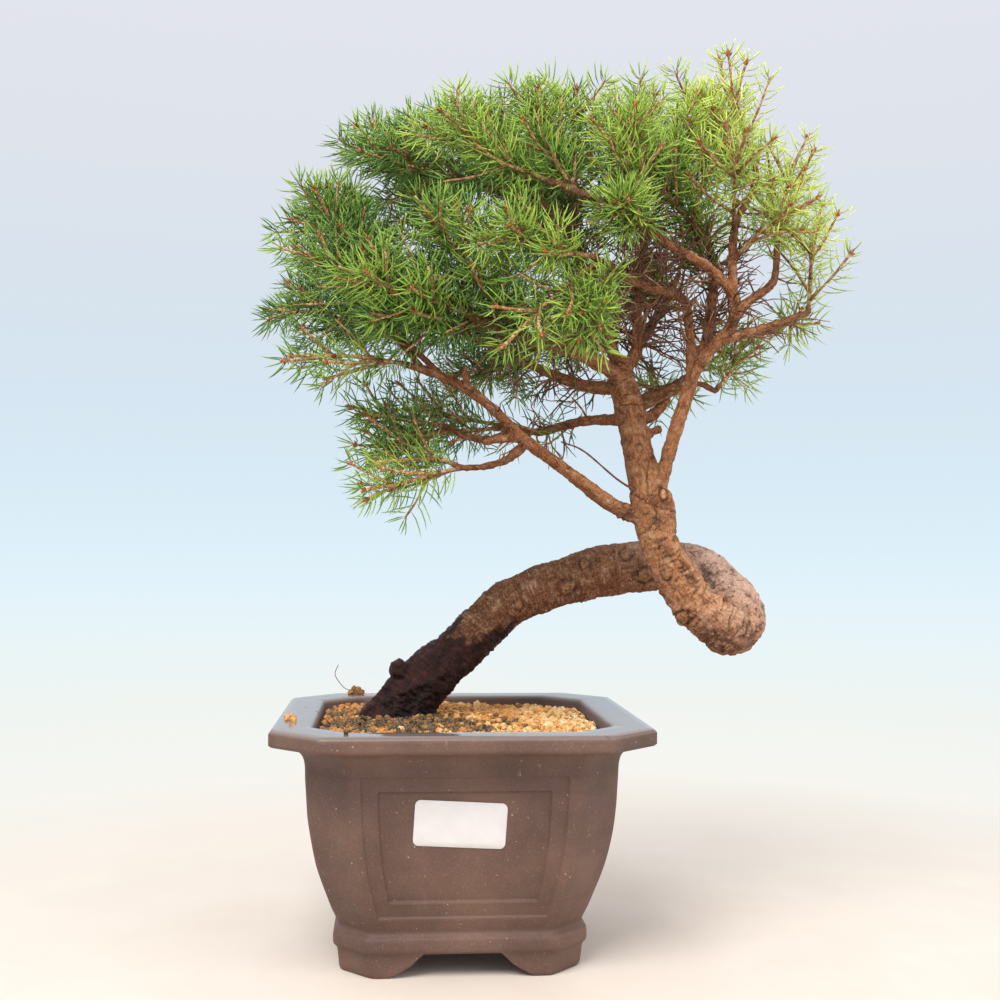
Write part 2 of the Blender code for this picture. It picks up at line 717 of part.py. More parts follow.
def foot_gap_cutter(quarter, material):
    """The arched gap under a pair of sides, between the corner feet."""
    profile = []
    for i in range(FOOT_GAP_STEPS + 1):
        share = i / FOOT_GAP_STEPS
        widen = FOOT_GAP_FLARE * (1.0 - math.sin(share * math.pi / 2.0))
        profile.append((FOOT_GAP_HALF_WIDTH + widen, FOOT_GAP_HEIGHT * share))
    profile = [(profile[0][0], -CUT_OVERRUN)] + profile
    outline = profile + [(-x, z) for x, z in reversed(profile)]
    rings = []
    for y in (-CUTTER_REACH, CUTTER_REACH):
        rings.append(turned([(x, y, z) for x, z in reversed(outline)], quarter))
    return stacked_rings("gap_cutter", rings, material)


def build_pot():
    clay = make_material("fired_clay", (0.13, 0.085, 0.075), 0.5)
    rings = [canted_ring(half, z) for z, half in POT_PROFILE]
    pot = stacked_rings("pot", rings, clay)
    cavity_rows = [(z, half) for z, half in reversed(POT_INSIDE)]
    cavity_rows.append((RIM_HEIGHT + CUT_OVERRUN, POT_INSIDE[0][1] + CUT_OVERRUN))
    cutters = [stacked_rings("cavity", [canted_ring(half, z) for z, half in cavity_rows], clay)]
    drain = [np.array((0.0, 0.0, z)) for z in (DRAIN_HOLE_BOTTOM, FLOOR_TOP + CUT_OVERRUN)]
    cutters.append(tube("drain_cutter", drain, [DRAIN_HOLE_RADIUS] * 2, 16, clay))
    cutters += [foot_gap_cutter(quarter, clay) for quarter in (0, 1)]
    for cutter in cutters:
        apply_boolean(pot, [cutter], "DIFFERENCE")
    for width_share, bottom, top, depth in PANEL_STEPS:
        for quarter in range(4):
            apply_boolean(pot, [panel_cutter(width_share, bottom, top, depth, quarter, clay)], "DIFFERENCE")
    shade_round(pot, 28.0)


def build_net():
    plastic = make_material("net_plastic", (0.02, 0.02, 0.02), 0.6)
    low = FLOOR_TOP + TOUCH_GAP
    half = NET_HALF_WIDTH
    corners = [(-half, -half), (half, -half), (half, half), (-half, half)]
    rings = [[(x, y, z) for x, y in corners] for z in (low, low + NET_THICKNESS)]
    net = stacked_rings("drain_mesh", rings, plastic)
    pitch = (2.0 * half - NET_BAR) / NET_CELLS
    hole = (pitch - NET_BAR) / 2.0
    cutters = []
    for i in range(NET_CELLS):
        for j in range(NET_CELLS):
            x = -half + NET_BAR + hole + i * pitch
            y = -half + NET_BAR + hole + j * pitch
            square = [(x - hole, y - hole), (x + hole, y - hole), (x + hole, y + hole), (x - hole, y + hole)]
            levels = (low - CUT_OVERRUN, low + NET_THICKNESS + CUT_OVERRUN)
            rings = [[(px, py, z) for px, py in square] for z in levels]
            cutters.append(stacked_rings("net_cutter", rings, plastic))
    apply_boolean(net, cutters, "DIFFERENCE")


def soil_half_width(height):
    rows = sorted(POT_INSIDE)
    return float(np.interp(height, [row[0] for row in rows], [row[1] for row in rows])) - SOIL_WALL_GAP


def soil_outline(half_width):
    """Evenly spaced points round the canted square that the pot's wall makes."""
    ring = [np.array(point) for point in canted_ring(half_width, 0.0)]
    closed = ring + [ring[0]]
    total = line_length(closed)
    return [along(closed, total * i / SOIL_ROUND_CELLS) for i in range(SOIL_ROUND_CELLS)]


def soil_top(x, y):
    """Height of the soil, mounded to the trunk's foot."""
    foot = TRUNK[2]
    away = math.hypot(x - foot[0], y - foot[1]) / SOIL_MOUND_REACH
    return SOIL_LEVEL + SOIL_MOUND * math.exp(-away * away)


def soil_rings():
    """Rings from the soil's underside up the pot's wall, then in over the top with grains as relief."""
    rng = random.Random(SOIL_SEED)
    rings = []
    underside = FLOOR_TOP + 2 * TOUCH_GAP + NET_THICKNESS
    for level in (underside, *SOIL_BEND_LEVELS, SOIL_LEVEL - SOIL_EDGE_DROP):
        rings.append([(x, y, level) for x, y, z in soil_outline(soil_half_width(level))])
    cell = soil_half_width(SOIL_LEVEL) / SOIL_ACROSS_CELLS
    for step in range(1, SOIL_ACROSS_CELLS):
        ring = []
        for x, y, z in soil_outline(soil_half_width(SOIL_LEVEL) - cell * step):
            x += rng.uniform(-SOIL_SCATTER, SOIL_SCATTER) * cell
            y += rng.uniform(-SOIL_SCATTER, SOIL_SCATTER) * cell
            ring.append((x, y, soil_top(x, y) + rng.uniform(-SOIL_GRAIN, SOIL_GRAIN)))
        rings.append(ring)
    return rings


def hole_tube(points, radii, sides, material):
    """A tube's hole: a gap's width wider all round and longer at both ends."""
    points = [np.array(point, float) for point in points]
    before = points[0] - unit(points[1] - points[0]) * SOIL_HOLE_GAP
    after = points[-1] + unit(points[-1] - points[-2]) * SOIL_HOLE_GAP
    wide = [radius + SOIL_HOLE_GAP for radius in radii]
    return tube("soil_hole", [before] + points + [after], wide[:1] + wide + wide[-1:], sides, material)


def build_soil():
    granules = make_material("akadama", (0.45, 0.24, 0.10), 0.95)
    soil = stacked_rings("soil", soil_rings(), granules)
    buried = TRUNK[:BURIED_TRUNK_POINTS]
    cutters = [hole_tube([row[:3] for row in buried], [row[3] for row in buried], TRUNK_SIDES, granules)]
    cutters += [hole_tube(route, radii, ROOT_SIDES, granules) for route, radii in ROOTS]
    apply_boolean(soil, cutters, "DIFFERENCE", "MANIFOLD")
    soil.data.shade_flat()


def label_half_width(height):
    """Half width of the label at a height from its middle, with its rounded corners."""
    straight = LABEL_HEIGHT / 2.0 - LABEL_CORNER
    into = max(0.0, abs(height) - straight)
    return LABEL_WIDTH / 2.0 - LABEL_CORNER + math.sqrt(LABEL_CORNER ** 2 - into ** 2)


def build_label():
    """A blank sticker with rounded corners, bent to the front panel's floor."""
    paper = make_material("white_paper", (0.9, 0.9, 0.88), 0.5)
    end = LABEL_HEIGHT / 2.0
    bend = LABEL_BEND_HEIGHT - LABEL_MIDDLE[1]
    heights = [-end, 1.0 - end, LABEL_CORNER - end, bend, end - LABEL_CORNER, end - 1.0, end]
    depth = PANEL_STEPS[-1][3]
    rings = []
    for height in heights:
        half = label_half_width(height)
        ring = []
        for x, lift in ((-half, 0.0), (-half, LABEL_THICKNESS), (half, LABEL_THICKNESS), (half, 0.0)):
            z = LABEL_MIDDLE[1] + x * math.sin(LABEL_TURN) + height * math.cos(LABEL_TURN)
            across = LABEL_MIDDLE[0] + x * math.cos(LABEL_TURN) - height * math.sin(LABEL_TURN)
            ring.append((across, -(wall_at(z) - depth + TOUCH_GAP + lift), z))
        rings.append(ring)
    stacked_rings("blank_label", rings, paper)


def build_tree(limbs):
    """Trunk, roots, boughs and the wood of every limb, grown together as one body."""
    bark = make_material("spruce_bark", (0.26, 0.13, 0.07), 0.9)
    trunk = tube("tree", [row[:3] for row in TRUNK], [row[3] for row in TRUNK], TRUNK_SIDES, bark)
    parts = []
    for route, radii in ROOTS:
        parts.append(tube("root", route, radii, ROOT_SIDES, bark))
    for route, radii in STUBS:
        parts.append(tube("stub", route, radii, 6 if radii[0] > 3.0 else 4, bark))
    ends = {limb["bough"]: limb["wood"] for limb in limbs if limb["bough"]}
    for name in BOUGHS:
        points, radii = bough_line(name)
        wood, wood_radii = ends[name]
        sides = 6 if radii[0] > 3.0 else 5
        parts.append(tube("bough", points + wood[1:], radii + wood_radii[1:], sides, bark))
    for limb in limbs:
        if limb["bough"] is None:
            parts.append(tube("limb", *limb["wood"], 4, bark))
    apply_boolean(trunk, parts, "UNION")
    shade_round(trunk, 50.0)


def build_sprays(limbs):
    """Each spray: a slim twig with side shoots and green needles, fused in one body."""
    needles_green = make_material("spruce_needles", (0.16, 0.32, 0.05), 0.55)
    for limb in limbs:
        axis, radii = limb["axis"]
        spray = tube(limb["name"], axis, radii, 3, needles_green)
        parts = [tube("shoot", points, widths, 3, needles_green) for points, widths in limb["laterals"]]
        parts += [needle("needle", root, tip, needles_green) for root, tip in limb["needles"]]
        apply_boolean(spray, parts, "UNION", "MANIFOLD")
        spray.data.shade_flat()


def build():
    clear_scene()
    rods = Rods()
    rods.add([np.array(row[:3], float) for row in TRUNK], [row[3] for row in TRUNK], "tree")
    for route, radii in STUBS:
        rods.add([np.array(point, float) for point in route], radii, "tree")
    for name in BOUGHS:
        rods.add(*bough_line(name), "tree")
    limbs = grow_limbs(rods)
    grow_laterals(limbs, rods)
    grow_needles(limbs, rods)
    build_pot()
    build_net()
    build_soil()
    build_label()
    build_tree(limbs)
    build_sprays(limbs)


build()
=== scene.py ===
"""The looks of a spruce bonsai in a square clay pot: bark, needles, buds, granules and fired clay.

Lengths are in millimetres, measured from the middle of the pot's underside, as in the part's own source:
+X to the right of the pot's front, +Y away from the front, +Z up. place() turns them into the frame's
metres. The routes of trunk, boughs, limbs and shoots follow the same tables and rules as the part, so every
fine piece lies where its solid is.
"""

import math
import random
from itertools import permutations

import bpy
import numpy as np
from mathutils import Matrix, Vector, kdtree, noise


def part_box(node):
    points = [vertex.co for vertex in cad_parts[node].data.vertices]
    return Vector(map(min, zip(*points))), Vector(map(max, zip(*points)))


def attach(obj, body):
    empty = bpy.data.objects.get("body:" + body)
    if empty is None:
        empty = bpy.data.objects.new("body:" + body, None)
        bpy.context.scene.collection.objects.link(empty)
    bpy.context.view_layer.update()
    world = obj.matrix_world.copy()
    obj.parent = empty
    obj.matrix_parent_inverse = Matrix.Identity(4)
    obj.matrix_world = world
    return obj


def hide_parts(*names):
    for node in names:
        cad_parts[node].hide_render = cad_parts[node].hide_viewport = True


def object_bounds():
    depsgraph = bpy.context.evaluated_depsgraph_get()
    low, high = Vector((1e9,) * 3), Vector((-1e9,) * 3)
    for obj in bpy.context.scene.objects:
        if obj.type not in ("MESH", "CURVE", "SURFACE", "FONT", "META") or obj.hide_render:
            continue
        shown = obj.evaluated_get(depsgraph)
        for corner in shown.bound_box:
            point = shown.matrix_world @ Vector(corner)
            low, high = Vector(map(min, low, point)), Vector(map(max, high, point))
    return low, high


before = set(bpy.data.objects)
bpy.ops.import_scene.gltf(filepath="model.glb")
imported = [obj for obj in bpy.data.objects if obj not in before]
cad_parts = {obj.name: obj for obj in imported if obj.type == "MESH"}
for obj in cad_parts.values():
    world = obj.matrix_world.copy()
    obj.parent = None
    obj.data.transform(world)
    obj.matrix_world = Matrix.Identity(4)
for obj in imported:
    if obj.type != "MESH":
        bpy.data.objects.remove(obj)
CAD_LOW, CAD_HIGH = [np.array(corner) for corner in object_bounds()]

MM = 0.001
TOUCH_GAP = 0.3
POT_LOW, POT_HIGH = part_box("pot")
POT_PLACE = np.array(((POT_LOW.x + POT_HIGH.x) / 2, (POT_LOW.y + POT_HIGH.y) / 2, POT_LOW.z))
BOX_LOW = (CAD_LOW - POT_PLACE) / MM
BOX_HIGH = (CAD_HIGH - POT_PLACE) / MM

# Pot, outside: height and half width of the body without its lip. Half widths are to the flat faces.
POT_PROFILE = (
    (0.0, 53.4), (2.0, 54.4), (10.0, 55.4), (12.0, 56.9), (17.5, 56.9), (20.2, 54.9), (30.0, 58.8),
    (48.0, 64.8), (66.0, 68.2), (84.0, 69.6), (93.0, 70.1), (97.5, 71.8), (100.2, 76.0), (101.4, 82.6),
    (102.6, 85.0), (107.4, 85.0), (109.0, 83.4),
)
# Pot, inside, from the opening down to the floor.
POT_INSIDE = (
    (109.0, 67.4), (107.6, 65.8), (96.0, 64.2), (70.0, 62.0), (48.0, 58.6), (30.0, 52.4), (18.0, 46.0),
)
RIM_HALF_WIDTH = 85.0
FLOOR_TOP = 18.0
CANT_SHARE = 0.265
CANT_ROUNDING = 2.4
FOOT_GAP_HEIGHT = 11.0
FOOT_GAP_HALF_WIDTH = 18.0
FOOT_GAP_FLARE = 14.0
FOOT_BAND_TOP = 17.5
DRAIN_HOLE_RADIUS = 11.0
PANEL_STEPS = (
    # half width as a share of the wall's, bottom, top, depth
    (0.641, 27.0, 89.8, 1.2),
    (0.537, 34.2, 83.2, 2.6),
)

# The lip's top and its round inner edge, and where rows and columns of points lie on the wall.
POT_LIP = ((109.0, 80.0), (109.0, 74.0), (109.0, 69.2), (108.8, 68.0), (108.1, 67.0), (107.0, 66.2))
WALL_STEP = 1.3
PLAIN_COLUMNS = (0.585, 0.612, 0.68)
PANEL_EDGE_SHARES = (-0.012, -0.005, 0.0, 0.005, 0.012)
PANEL_EDGE_HEIGHTS = (-0.6, -0.2, 0.2, 0.6)

# Soil of baked clay granules, mounded to the trunk.
SOIL_WALL_GAP = 0.4
SOIL_LEVEL = 103.2
SOIL_MOUND = 2.6
SOIL_MOUND_REACH = 60.0

# Blank label on the front panel.
LABEL_WIDTH = 40.0
LABEL_HEIGHT = 20.0
LABEL_MIDDLE = (-2.0, 69.0)
LABEL_TURN = math.radians(-3.0)
LABEL_CORNER = 2.5
LABEL_GAP = 0.06
# The label from its back to its face: height, and size as a share.
LABEL_LIFTS = ((0.0, 1.0), (0.28, 1.0), (0.34, 0.995), (0.34, 0.75), (0.34, 0.5), (0.34, 0.25), (0.34, 0.02))

# Trunk: a point is (x, y, z, radius). It leans out of the soil, loops back at the right and rises.
TRUNK = (
    (-47, 1, 76, 10.0), (-42, 4, 86, 13.5), (-36, 8, 97, 16.0), (-27, 11, 109, 15.0),
    (-16, 13, 123, 13.4), (2, 15, 139, 11.9), (26, 17, 161, 11.7), (52, 18, 171, 11.9),
    (77, 18, 178, 13.0), (102, 16, 180, 12.8), (119, 13, 178, 12.6), (131, 8, 169, 13.0),
    (136, -1, 160, 13.4), (134, -12, 153, 13.2), (127, -22, 151, 12.6), (117, -29, 157, 11.8),
    (106, -31, 166, 10.4), (95, -30, 185, 9.2), (91, -29, 197, 9.5), (90, -28, 207, 10.2),
    (87, -27, 216, 8.9), (83, -23, 236, 7.1), (80, -18, 256, 7.3), (77, -15, 270, 6.6),
    (77, -14, 281, 5.2),
)
# Roots that spread from the trunk's foot, sunk in the soil: route and radii.
ROOTS = (
    (((-36, 4, 100), (-46, -10, 97), (-55, -20, 88)), (9.0, 5.5, 2.5)),
    (((-34, 14, 100), (-44, 27, 96), (-52, 36, 86)), (9.0, 5.0, 2.5)),
    (((-30, 5, 103), (-22, -8, 98), (-12, -19, 89)), (8.5, 5.0, 2.5)),
    (((-40, 8, 97), (-52, 6, 93), (-56, 4, 83)), (9.5, 6.0, 3.0)),
)
# Knots, cut stubs and snags: route and radii.
STUBS = (
    (((91, -32, 212), (92, -37, 213), (92, -40, 214)), (5.6, 4.8, 3.4)),
    (((80, -19, 249), (90, -17, 252), (95, -17, 256), (99, -17, 261)), (3.8, 3.0, 2.7, 2.5)),
    (((83, -22, 242), (90, -22, 244), (95, -22, 246)), (3.2, 2.2, 1.8)),
    (((-22, 9, 121), (-28, 6, 128), (-31, 4, 132)), (6.0, 4.6, 3.2)),
    (((1, -52, 258), (-1, -56, 265), (-1, -57, 269)), (2.0, 1.7, 1.5)),
    (((24, -45, 238), (13, -50, 237), (8, -52, 235)), (2.2, 1.9, 1.7)),
    (((86, -31, 213), (72, -36, 220), (55, -40, 233), (44, -43, 237)), (1.4, 1.0, 0.9, 0.8)),
)
# Each bough: its route, its radius at the foot and at the end, and the tip that its last shoot reaches.
BOUGHS = {
    "right": (((91, -28, 209), (94, -32, 225), (99, -34, 244), (104, -35, 260), (110, -34, 275),
               (120, -35, 287), (126, -37, 296), (125, -40, 307), (113, -46, 317), (102, -51, 322),
               (89, -56, 327), (77, -61, 334), (64, -63, 340), (51, -66, 345), (37, -69, 349)),
              3.9, 1.7, (-20, -74, 371)),
    "leader": (((125, -39, 304), (127, -31, 331), (130, -28, 346), (136, -25, 356), (141, -23, 367)),
               2.6, 1.4, (124, -18, 428)),
    "arm": (((121, -35, 287), (133, -31, 291), (141, -28, 293), (156, -21, 299), (169, -15, 305)),
            3.2, 1.5, (179, -9, 361)),
    "fan": (((126, -37, 297), (136, -29, 307), (146, -20, 314), (153, -13, 322), (156, -7, 340)),
            2.8, 1.4, (173, -4, 396)),
    "inner": (((106, -34, 268), (107, -31, 285), (105, -33, 297), (102, -37, 305), (90, -46, 307),
               (75, -56, 309), (65, -64, 312), (54, -71, 316)), 2.7, 1.6, (3, -84, 321)),
    "riser": (((110, -34, 275), (117, -26, 294), (120, -20, 309), (122, -18, 324), (117, -22, 335),
               (107, -27, 345)), 2.8, 1.6, (75, -40, 386)),
    "left": (((76, -16, 272), (67, -22, 275), (57, -29, 279), (44, -38, 281), (29, -49, 283),
              (14, -57, 286), (1, -64, 290)), 4.4, 1.8, (-57, -76, 303)),
    "left_back": (((77, -15, 266), (68, -6, 267), (58, 9, 271), (45, 26, 279), (28, 42, 291),
                   (7, 54, 307)), 3.8, 1.7, (-47, 68, 334)),
    "spire": (((77, -14, 272), (85, -11, 285), (86, -7, 301), (87, -3, 316), (89, -1, 334),
               (91, -4, 350)), 3.4, 1.6, (84, -10, 410)),
    "shoulder": (((76, -14, 275), (71, -14, 287), (66, -14, 304), (60, -15, 320), (51, -16, 339),
                  (38, -17, 354)), 3.6, 1.6, (-8, -14, 396)),
    "back_right": (((78, -14, 275), (90, 7, 291), (105, 27, 312), (116, 40, 331)), 3.0, 1.6,
                   (136, 64, 386)),
    "back": (((77, -14, 275), (76, 8, 290), (74, 30, 310), (66, 47, 330)), 3.0, 1.6, (40, 74, 384)),
    "low_back": (((80, -19, 250), (63, -5, 251), (53, 10, 250), (40, 27, 248), (23, 40, 252)),
                 3.0, 1.6, (-33, 60, 262)),
    "low_right": (((80, -18, 258), (102, 2, 268), (117, 20, 277)), 2.4, 1.5, (160, 49, 300)),
    "hook": (((82, -20, 254), (98, -20, 262), (108, -19, 267), (115, -18, 268), (122, -17, 265)),
             1.9, 1.3, (143, -7, 292)),
    "low_left": (((86, -29, 203), (71, -32, 208), (54, -38, 219), (38, -42, 230), (25, -46, 239),
                  (13, -49, 250), (2, -52, 258), (-13, -55, 265), (-26, -56, 269)), 4.1, 1.7,
                 (-87, -58, 271)),
    "hanging": (((29, -45, 236), (18, -46, 228), (8, -47, 225), (-2, -49, 224)), 2.0, 1.3,
                (-53, -50, 205)),
    "tucked": (((22, -47, 242), (12, -39, 238), (1, -31, 240), (-8, -26, 245)), 2.0, 1.3,
               (-58, -20, 250)),
}
# Side limbs that show on the crown's front and outline: the tip, and the bough that a limb must leave.
SIDE_LIMBS = (
    ((-49, -76, 295), "left"), ((-72, -44, 347), None), ((-49, -41, 369), None), ((-77, -54, 320), None),
    ((-79, -27, 341), None), ((-58, 5, 384), None), ((-94, 18, 306), None), ((-58, -10, 233), "tucked"),
    ((12, -97, 271), "inner"), ((46, -84, 277), "inner"), ((53, -24, 409), None), ((109, -9, 414), None),
    ((-1, 0, 405), None), ((122, -34, 381), "riser"), ((102, -27, 396), "riser"),
    ((176, 14, 303), None), ((-30, 22, 243), None), ((-52, -36, 236), "hanging"), ((-20, -80, 332), None),
    ((25, -60, 392), "right"),
)

# Crown: middle, half depth, and its reach seen from the front as (degrees from +X towards +Z, radius).
CROWN_MIDDLE = np.array((50.0, -5.0, 325.0))
CROWN_HALF_DEPTH = 88.0
CROWN_REACH = (
    (0, 137), (30, 146), (58, 122), (90, 92), (120, 97), (150, 122), (180, 137), (195, 147),
    (229, 150), (250, 95), (290, 70), (326, 96), (348, 136), (360, 137),
)
FILL_DIRECTIONS = 96
TIP_SPACING = 39.0

# Where side limbs start: the stretch of a bough that may bear them, as shares, and the spots' spacing.
LIMB_STRETCH = (0.3, 0.95)
SPOT_SPACING = 7.0
# A spot costs the limb's length, and more where the limb would sweep back, crowd, turn inwards or be short.
FORWARD_WANTED = 0.45
SWEPT_COST = 45.0
CROWD_REACH = 9.0
CROWD_COST = 30.0
OUTWARD_WANTED = 0.5
INWARD_COST = 50.0
LENGTH_WANTED = 40.0
SHORT_COST = 3.0

# Limbs and shoots.
SPRAY_LENGTH = 58.0
SPRAY_FOOT_RADIUS = 1.15
WOOD_STEP = 18.0
SHOOT_TIP_RADIUS = 0.9
LATERAL_RADII = (0.55, 0.88)
# Side shoots of a spray: place on its axis, length as a share of the axis, and turn round the axis.
LATERALS = (
    (0.07, 0.66, 0.0), (0.14, 0.60, 180.0), (0.46, 0.50, 10.0), (0.50, 0.50, 170.0), (0.52, 0.42, 90.0),
)
LATERAL_LEAN = (42.0, 56.0)
LATERAL_TURN = 30.0
LATERAL_LENGTH = (0.85, 1.12)
CLEARANCE = 0.6
BOUGH_END_WOOD = 2.0
SPRAY_STANDOFF = 4.0
LIMB_SHARE = 0.85
LIMB_RADIUS = 1.3
LIMB_RADIUS_GAIN = 0.012
CURVE_POINTS = 24
# Each new try aims a little wider or grows a little shorter than the last.
LIMB_TRIES = 40
AIM_SLACK = 0.35
LATERAL_TRIES = 14
TURN_SLACK = 0.15
TRY_SHORTENING = 0.96
LIMB_SEED = 5000
LATERAL_SEED = 10000

NEEDLE_LENGTH = 14.8
GOLDEN_TURN = math.pi * (3.0 - math.sqrt(5.0))

TINY = 1e-9
UP = np.array((0.0, 0.0, 1.0))
# A little off upright, so that a shoot that stands straight up still has a side.
NEARLY_UP = np.array((0.0013, -0.0001, 1.0))

# Bark. Lines are swept as tubes, joined by a voxel remesh and given relief along their own length.
BARK_VOXEL = 0.92
BARK_RELAX = 5
BARK_STEP = 1.5
THIN_BOUGH = 2.3
TRUNK_SWEEP_SIDES = 22
# Healed knots on the trunk: place on the bark and size.
KNOTS = (
    ((62, 7, 182), 3.0), ((54, 5, 169), 4.6), ((83, 6, 186), 3.2), ((92, 4, 175), 4.6),
    ((93, -39, 176), 3.0), ((102, -37, 157), 3.4), ((30, 4, 160), 3.4), ((123, -31, 162), 3.8),
    ((83, -29, 236), 2.2),
)
# Bulges: place, reach and height.
SWELLS = (
    ((76, -31, 203), 5.0, 1.4), ((107, -39, 176), 6.0, 2.8), ((104, -41, 169), 4.5, 1.1),
    ((102, -36, 157), 5.0, 1.5), ((82, -34, 209), 5.5, 1.4), ((-29, 4, 129), 5.0, 1.6),
    ((121, -33, 143), 8.0, 1.0), ((96, -37, 209), 5.0, 1.2),
)
# Places where the bark is rough and dark, at the foot of old boughs and under the loop: middle and reach.
ROUGH_SPOTS = (
    ((76, -31, 205), 5.0), ((70, -19, 274), 4.5), ((91, -38, 201), 4.0), ((93, -38, 187), 4.0),
    ((116, -36, 146), 7.0), ((124, -30, 143), 7.0), ((-20, 0, 113), 8.0), ((-28, -3, 110), 7.0),
    ((-13, 2, 112), 7.0), ((85, -20, 250), 4.0), ((104, -38, 178), 4.0), ((119, -34, 169), 2.6),
    ((123, -36, 165), 2.4), ((128, -34, 162), 2.2), ((135, -31, 154), 2.4), ((135, -32, 149), 2.6),
    ((121, -1, 177), 4.0), ((124, -2, 172), 4.0),
)
# Pruning cut of bare wood: its middle, and its half width and half height.
CUT_MIDDLE = (92.0, -41.0, 214.0)
CUT_HALF_SIZE = (1.15, 2.2)
# Ridges that run down into the roots at the front of the foot: route and radii.
FOOT_RIDGES = (
    (((-6, 2, 128), (-21, 0, 121), (-33, 0, 115), (-42, 2, 110), (-49, 4, 104)), (2.0, 2.6, 2.8, 2.6, 2.2)),
    (((-20, 8, 127), (-29, 6, 123), (-38, 6, 115), (-46, 7, 107)), (2.6, 3.0, 3.0, 2.6)),
)
# Distances along the trunk: the wrinkled bend, the flaky upper trunk, and the gnarled foot.
BEND_START = (211.0, 241.0)
BEND_END = (345.0, 310.0)
UPPER_START = (330.0, 360.0)
FOOT_END = (130.0, 90.0)
# The wet bark's limit along the trunk, how much further it reaches underneath, and how ragged it is.
WET_REACH = 86.0
WET_UNDERSIDE_REACH = 24.0
WET_RAGGEDNESS = 14.0
BOUGH_WAVES = 0.16
BOUGH_SIDES = 10
# A bough's bark pattern starts at this distance, and at one step more for every bough.
PATTERN_START = 600.0
PATTERN_STEP = 80.0

# Bare dead twigs: the bough, how many, the range of lengths, and the share of the bough where they start.
DEAD_TWIGS = (
    ("right", 34, (12.0, 36.0), 0.42), ("riser", 60, (12.0, 36.0), 0.1), ("inner", 54, (12.0, 38.0), 0.1),
    ("leader", 10, (8.0, 24.0), 0.1), ("left", 44, (10.0, 30.0), 0.3), ("spire", 64, (12.0, 38.0), 0.1),
    ("shoulder", 56, (12.0, 36.0), 0.1), ("low_left", 13, (6.0, 20.0), 0.45), ("hook", 5, (6.0, 16.0), 0.5),
    ("left_back", 44, (10.0, 34.0), 0.1), ("back_right", 40, (10.0, 30.0), 0.1),
    ("back", 34, (10.0, 34.0), 0.1), ("low_back", 12, (8.0, 24.0), 0.2), ("arm", 6, (8.0, 20.0), 0.2),
    ("fan", 6, (8.0, 20.0), 0.1),
)
DEAD_TWIG_END = 0.85
DEAD_TWIG_RADII = (0.55, 0.2)
FINE_TWIG_RADII = (0.34, 0.16)
DEAD_TWIG_SEED = 50000
LIMB_WOOD_SEED = 50
# A root hair that stands out of the crumb on the back rim.
ROOT_HAIR = ((-51, 78, 111), (-57, 78, 112), (-61.5, 78, 117), (-62.8, 78, 120.5), (-61, 78, 125))
ROOT_HAIR_RADIUS = 0.22

# Foliage. The pitch is the length of shoot for each needle.
NEEDLE_PITCH = 0.72
AIRY_NEEDLE_PITCH = 1.3
NEEDLE_RADII = (0.36, 0.31)
TUFT_NEEDLES = 4
# Degrees by which needles lean away from their shoot, by place along it.
NEEDLE_LEAN_PLACES = (0.0, 0.75, 0.93, 1.0)
NEEDLE_LEANS = (76.0, 66.0, 58.0, 46.0)
# A needle's faces: its root is point 0, its two rings points 1 to 3 and 4 to 6, and its tip point 7.
NEEDLE_QUADS = ((1, 2, 5, 4), (2, 3, 6, 5), (3, 1, 4, 6))
NEEDLE_ENDS = ((2, 1, 0), (3, 2, 0), (1, 3, 0), (4, 5, 7), (5, 6, 7), (6, 4, 7))
# Radii of a shoot at its foot and tip: a spray's axis, its side shoots, and their finer side shoots.
AXIS_WIDTH = (1.05, 0.75)
LATERAL_WIDTH = (0.85, 0.65)
SUB_WIDTH = (0.65, 0.5)
TWIG_SIDES = 5
# Places along a bud and its widths there, as shares of its size.
BUD_STATIONS = (-0.6, -0.2, 0.35, 0.8, 1.15)
BUD_WIDTHS = (0.45, 0.72, 0.66, 0.36, 0.08)
# Where a foliage piece keeps its three materials.
NEEDLE_SLOT = 0
TWIG_SLOT = 1
BUD_SLOT = 2
# Spacing of the points along a shoot, and its bow as a share of its length.
SHOOT_STEP = 4.4
SHOOT_BOW = 0.05
# Finer side shoots as place, length share and turn: on a spray's axis, and on each of its side shoots.
AXIS_EXTRAS = ((0.27, 0.55, 95.0), (0.30, 0.55, 265.0), (0.72, 0.42, 20.0), (0.76, 0.42, 200.0))
LATERAL_EXTRA = (0.38, 0.60, 90.0)
# Short shoots on the wood behind a spray, as place and turn: on a side limb, and on a bough's outer part.
LIMB_SHOOTS = ((0.45, 60.0), (0.68, 190.0), (0.9, 310.0))
BOUGH_SHOOTS = ((0.1, 80.0), (0.28, 250.0), (0.46, 20.0), (0.64, 160.0), (0.82, 300.0))
WOOD_SHOOT_LENGTH = 17.0
# Tips of shoots that close gaps of the crown.
GAP_TIPS = (
    (-41, 8, 358), (-34, 15, 349), (13, 7, 364), (63, 10, 358), (73, 16, 346),
    (92, 18, 354), (-26, 22, 361), (22, 8, 337), (-4, 14, 315),
)
# Boughs whose wood shows bare, and boughs with short shoots on most of their length.
BARE_BOUGHS = ("right", "inner", "low_left", "arm", "hook")
LEAFY_BOUGHS = ("low_back", "left_back")
# Sprays low down or far right are airy, with fewer needles and finer shoots.
AIRY_BELOW = 276.0
AIRY_RIGHT_OF = 114.0
AIRY_EXTRAS = 2
# A spray's own shoot starts this far back in its wood. Finer shoots end this far inside the part's box.
TWIG_OVERLAP = 1.5
BOX_MARGIN = 5.0
# The sprays low down on the left are a little shorter than their solids, as in the photograph.
SHORT_CORNER = (-45.0, 290.0)
SHORT_CORNER_INSET = 9.0
EXTRA_SEED = 30000
FOLIAGE_SEED = 40000

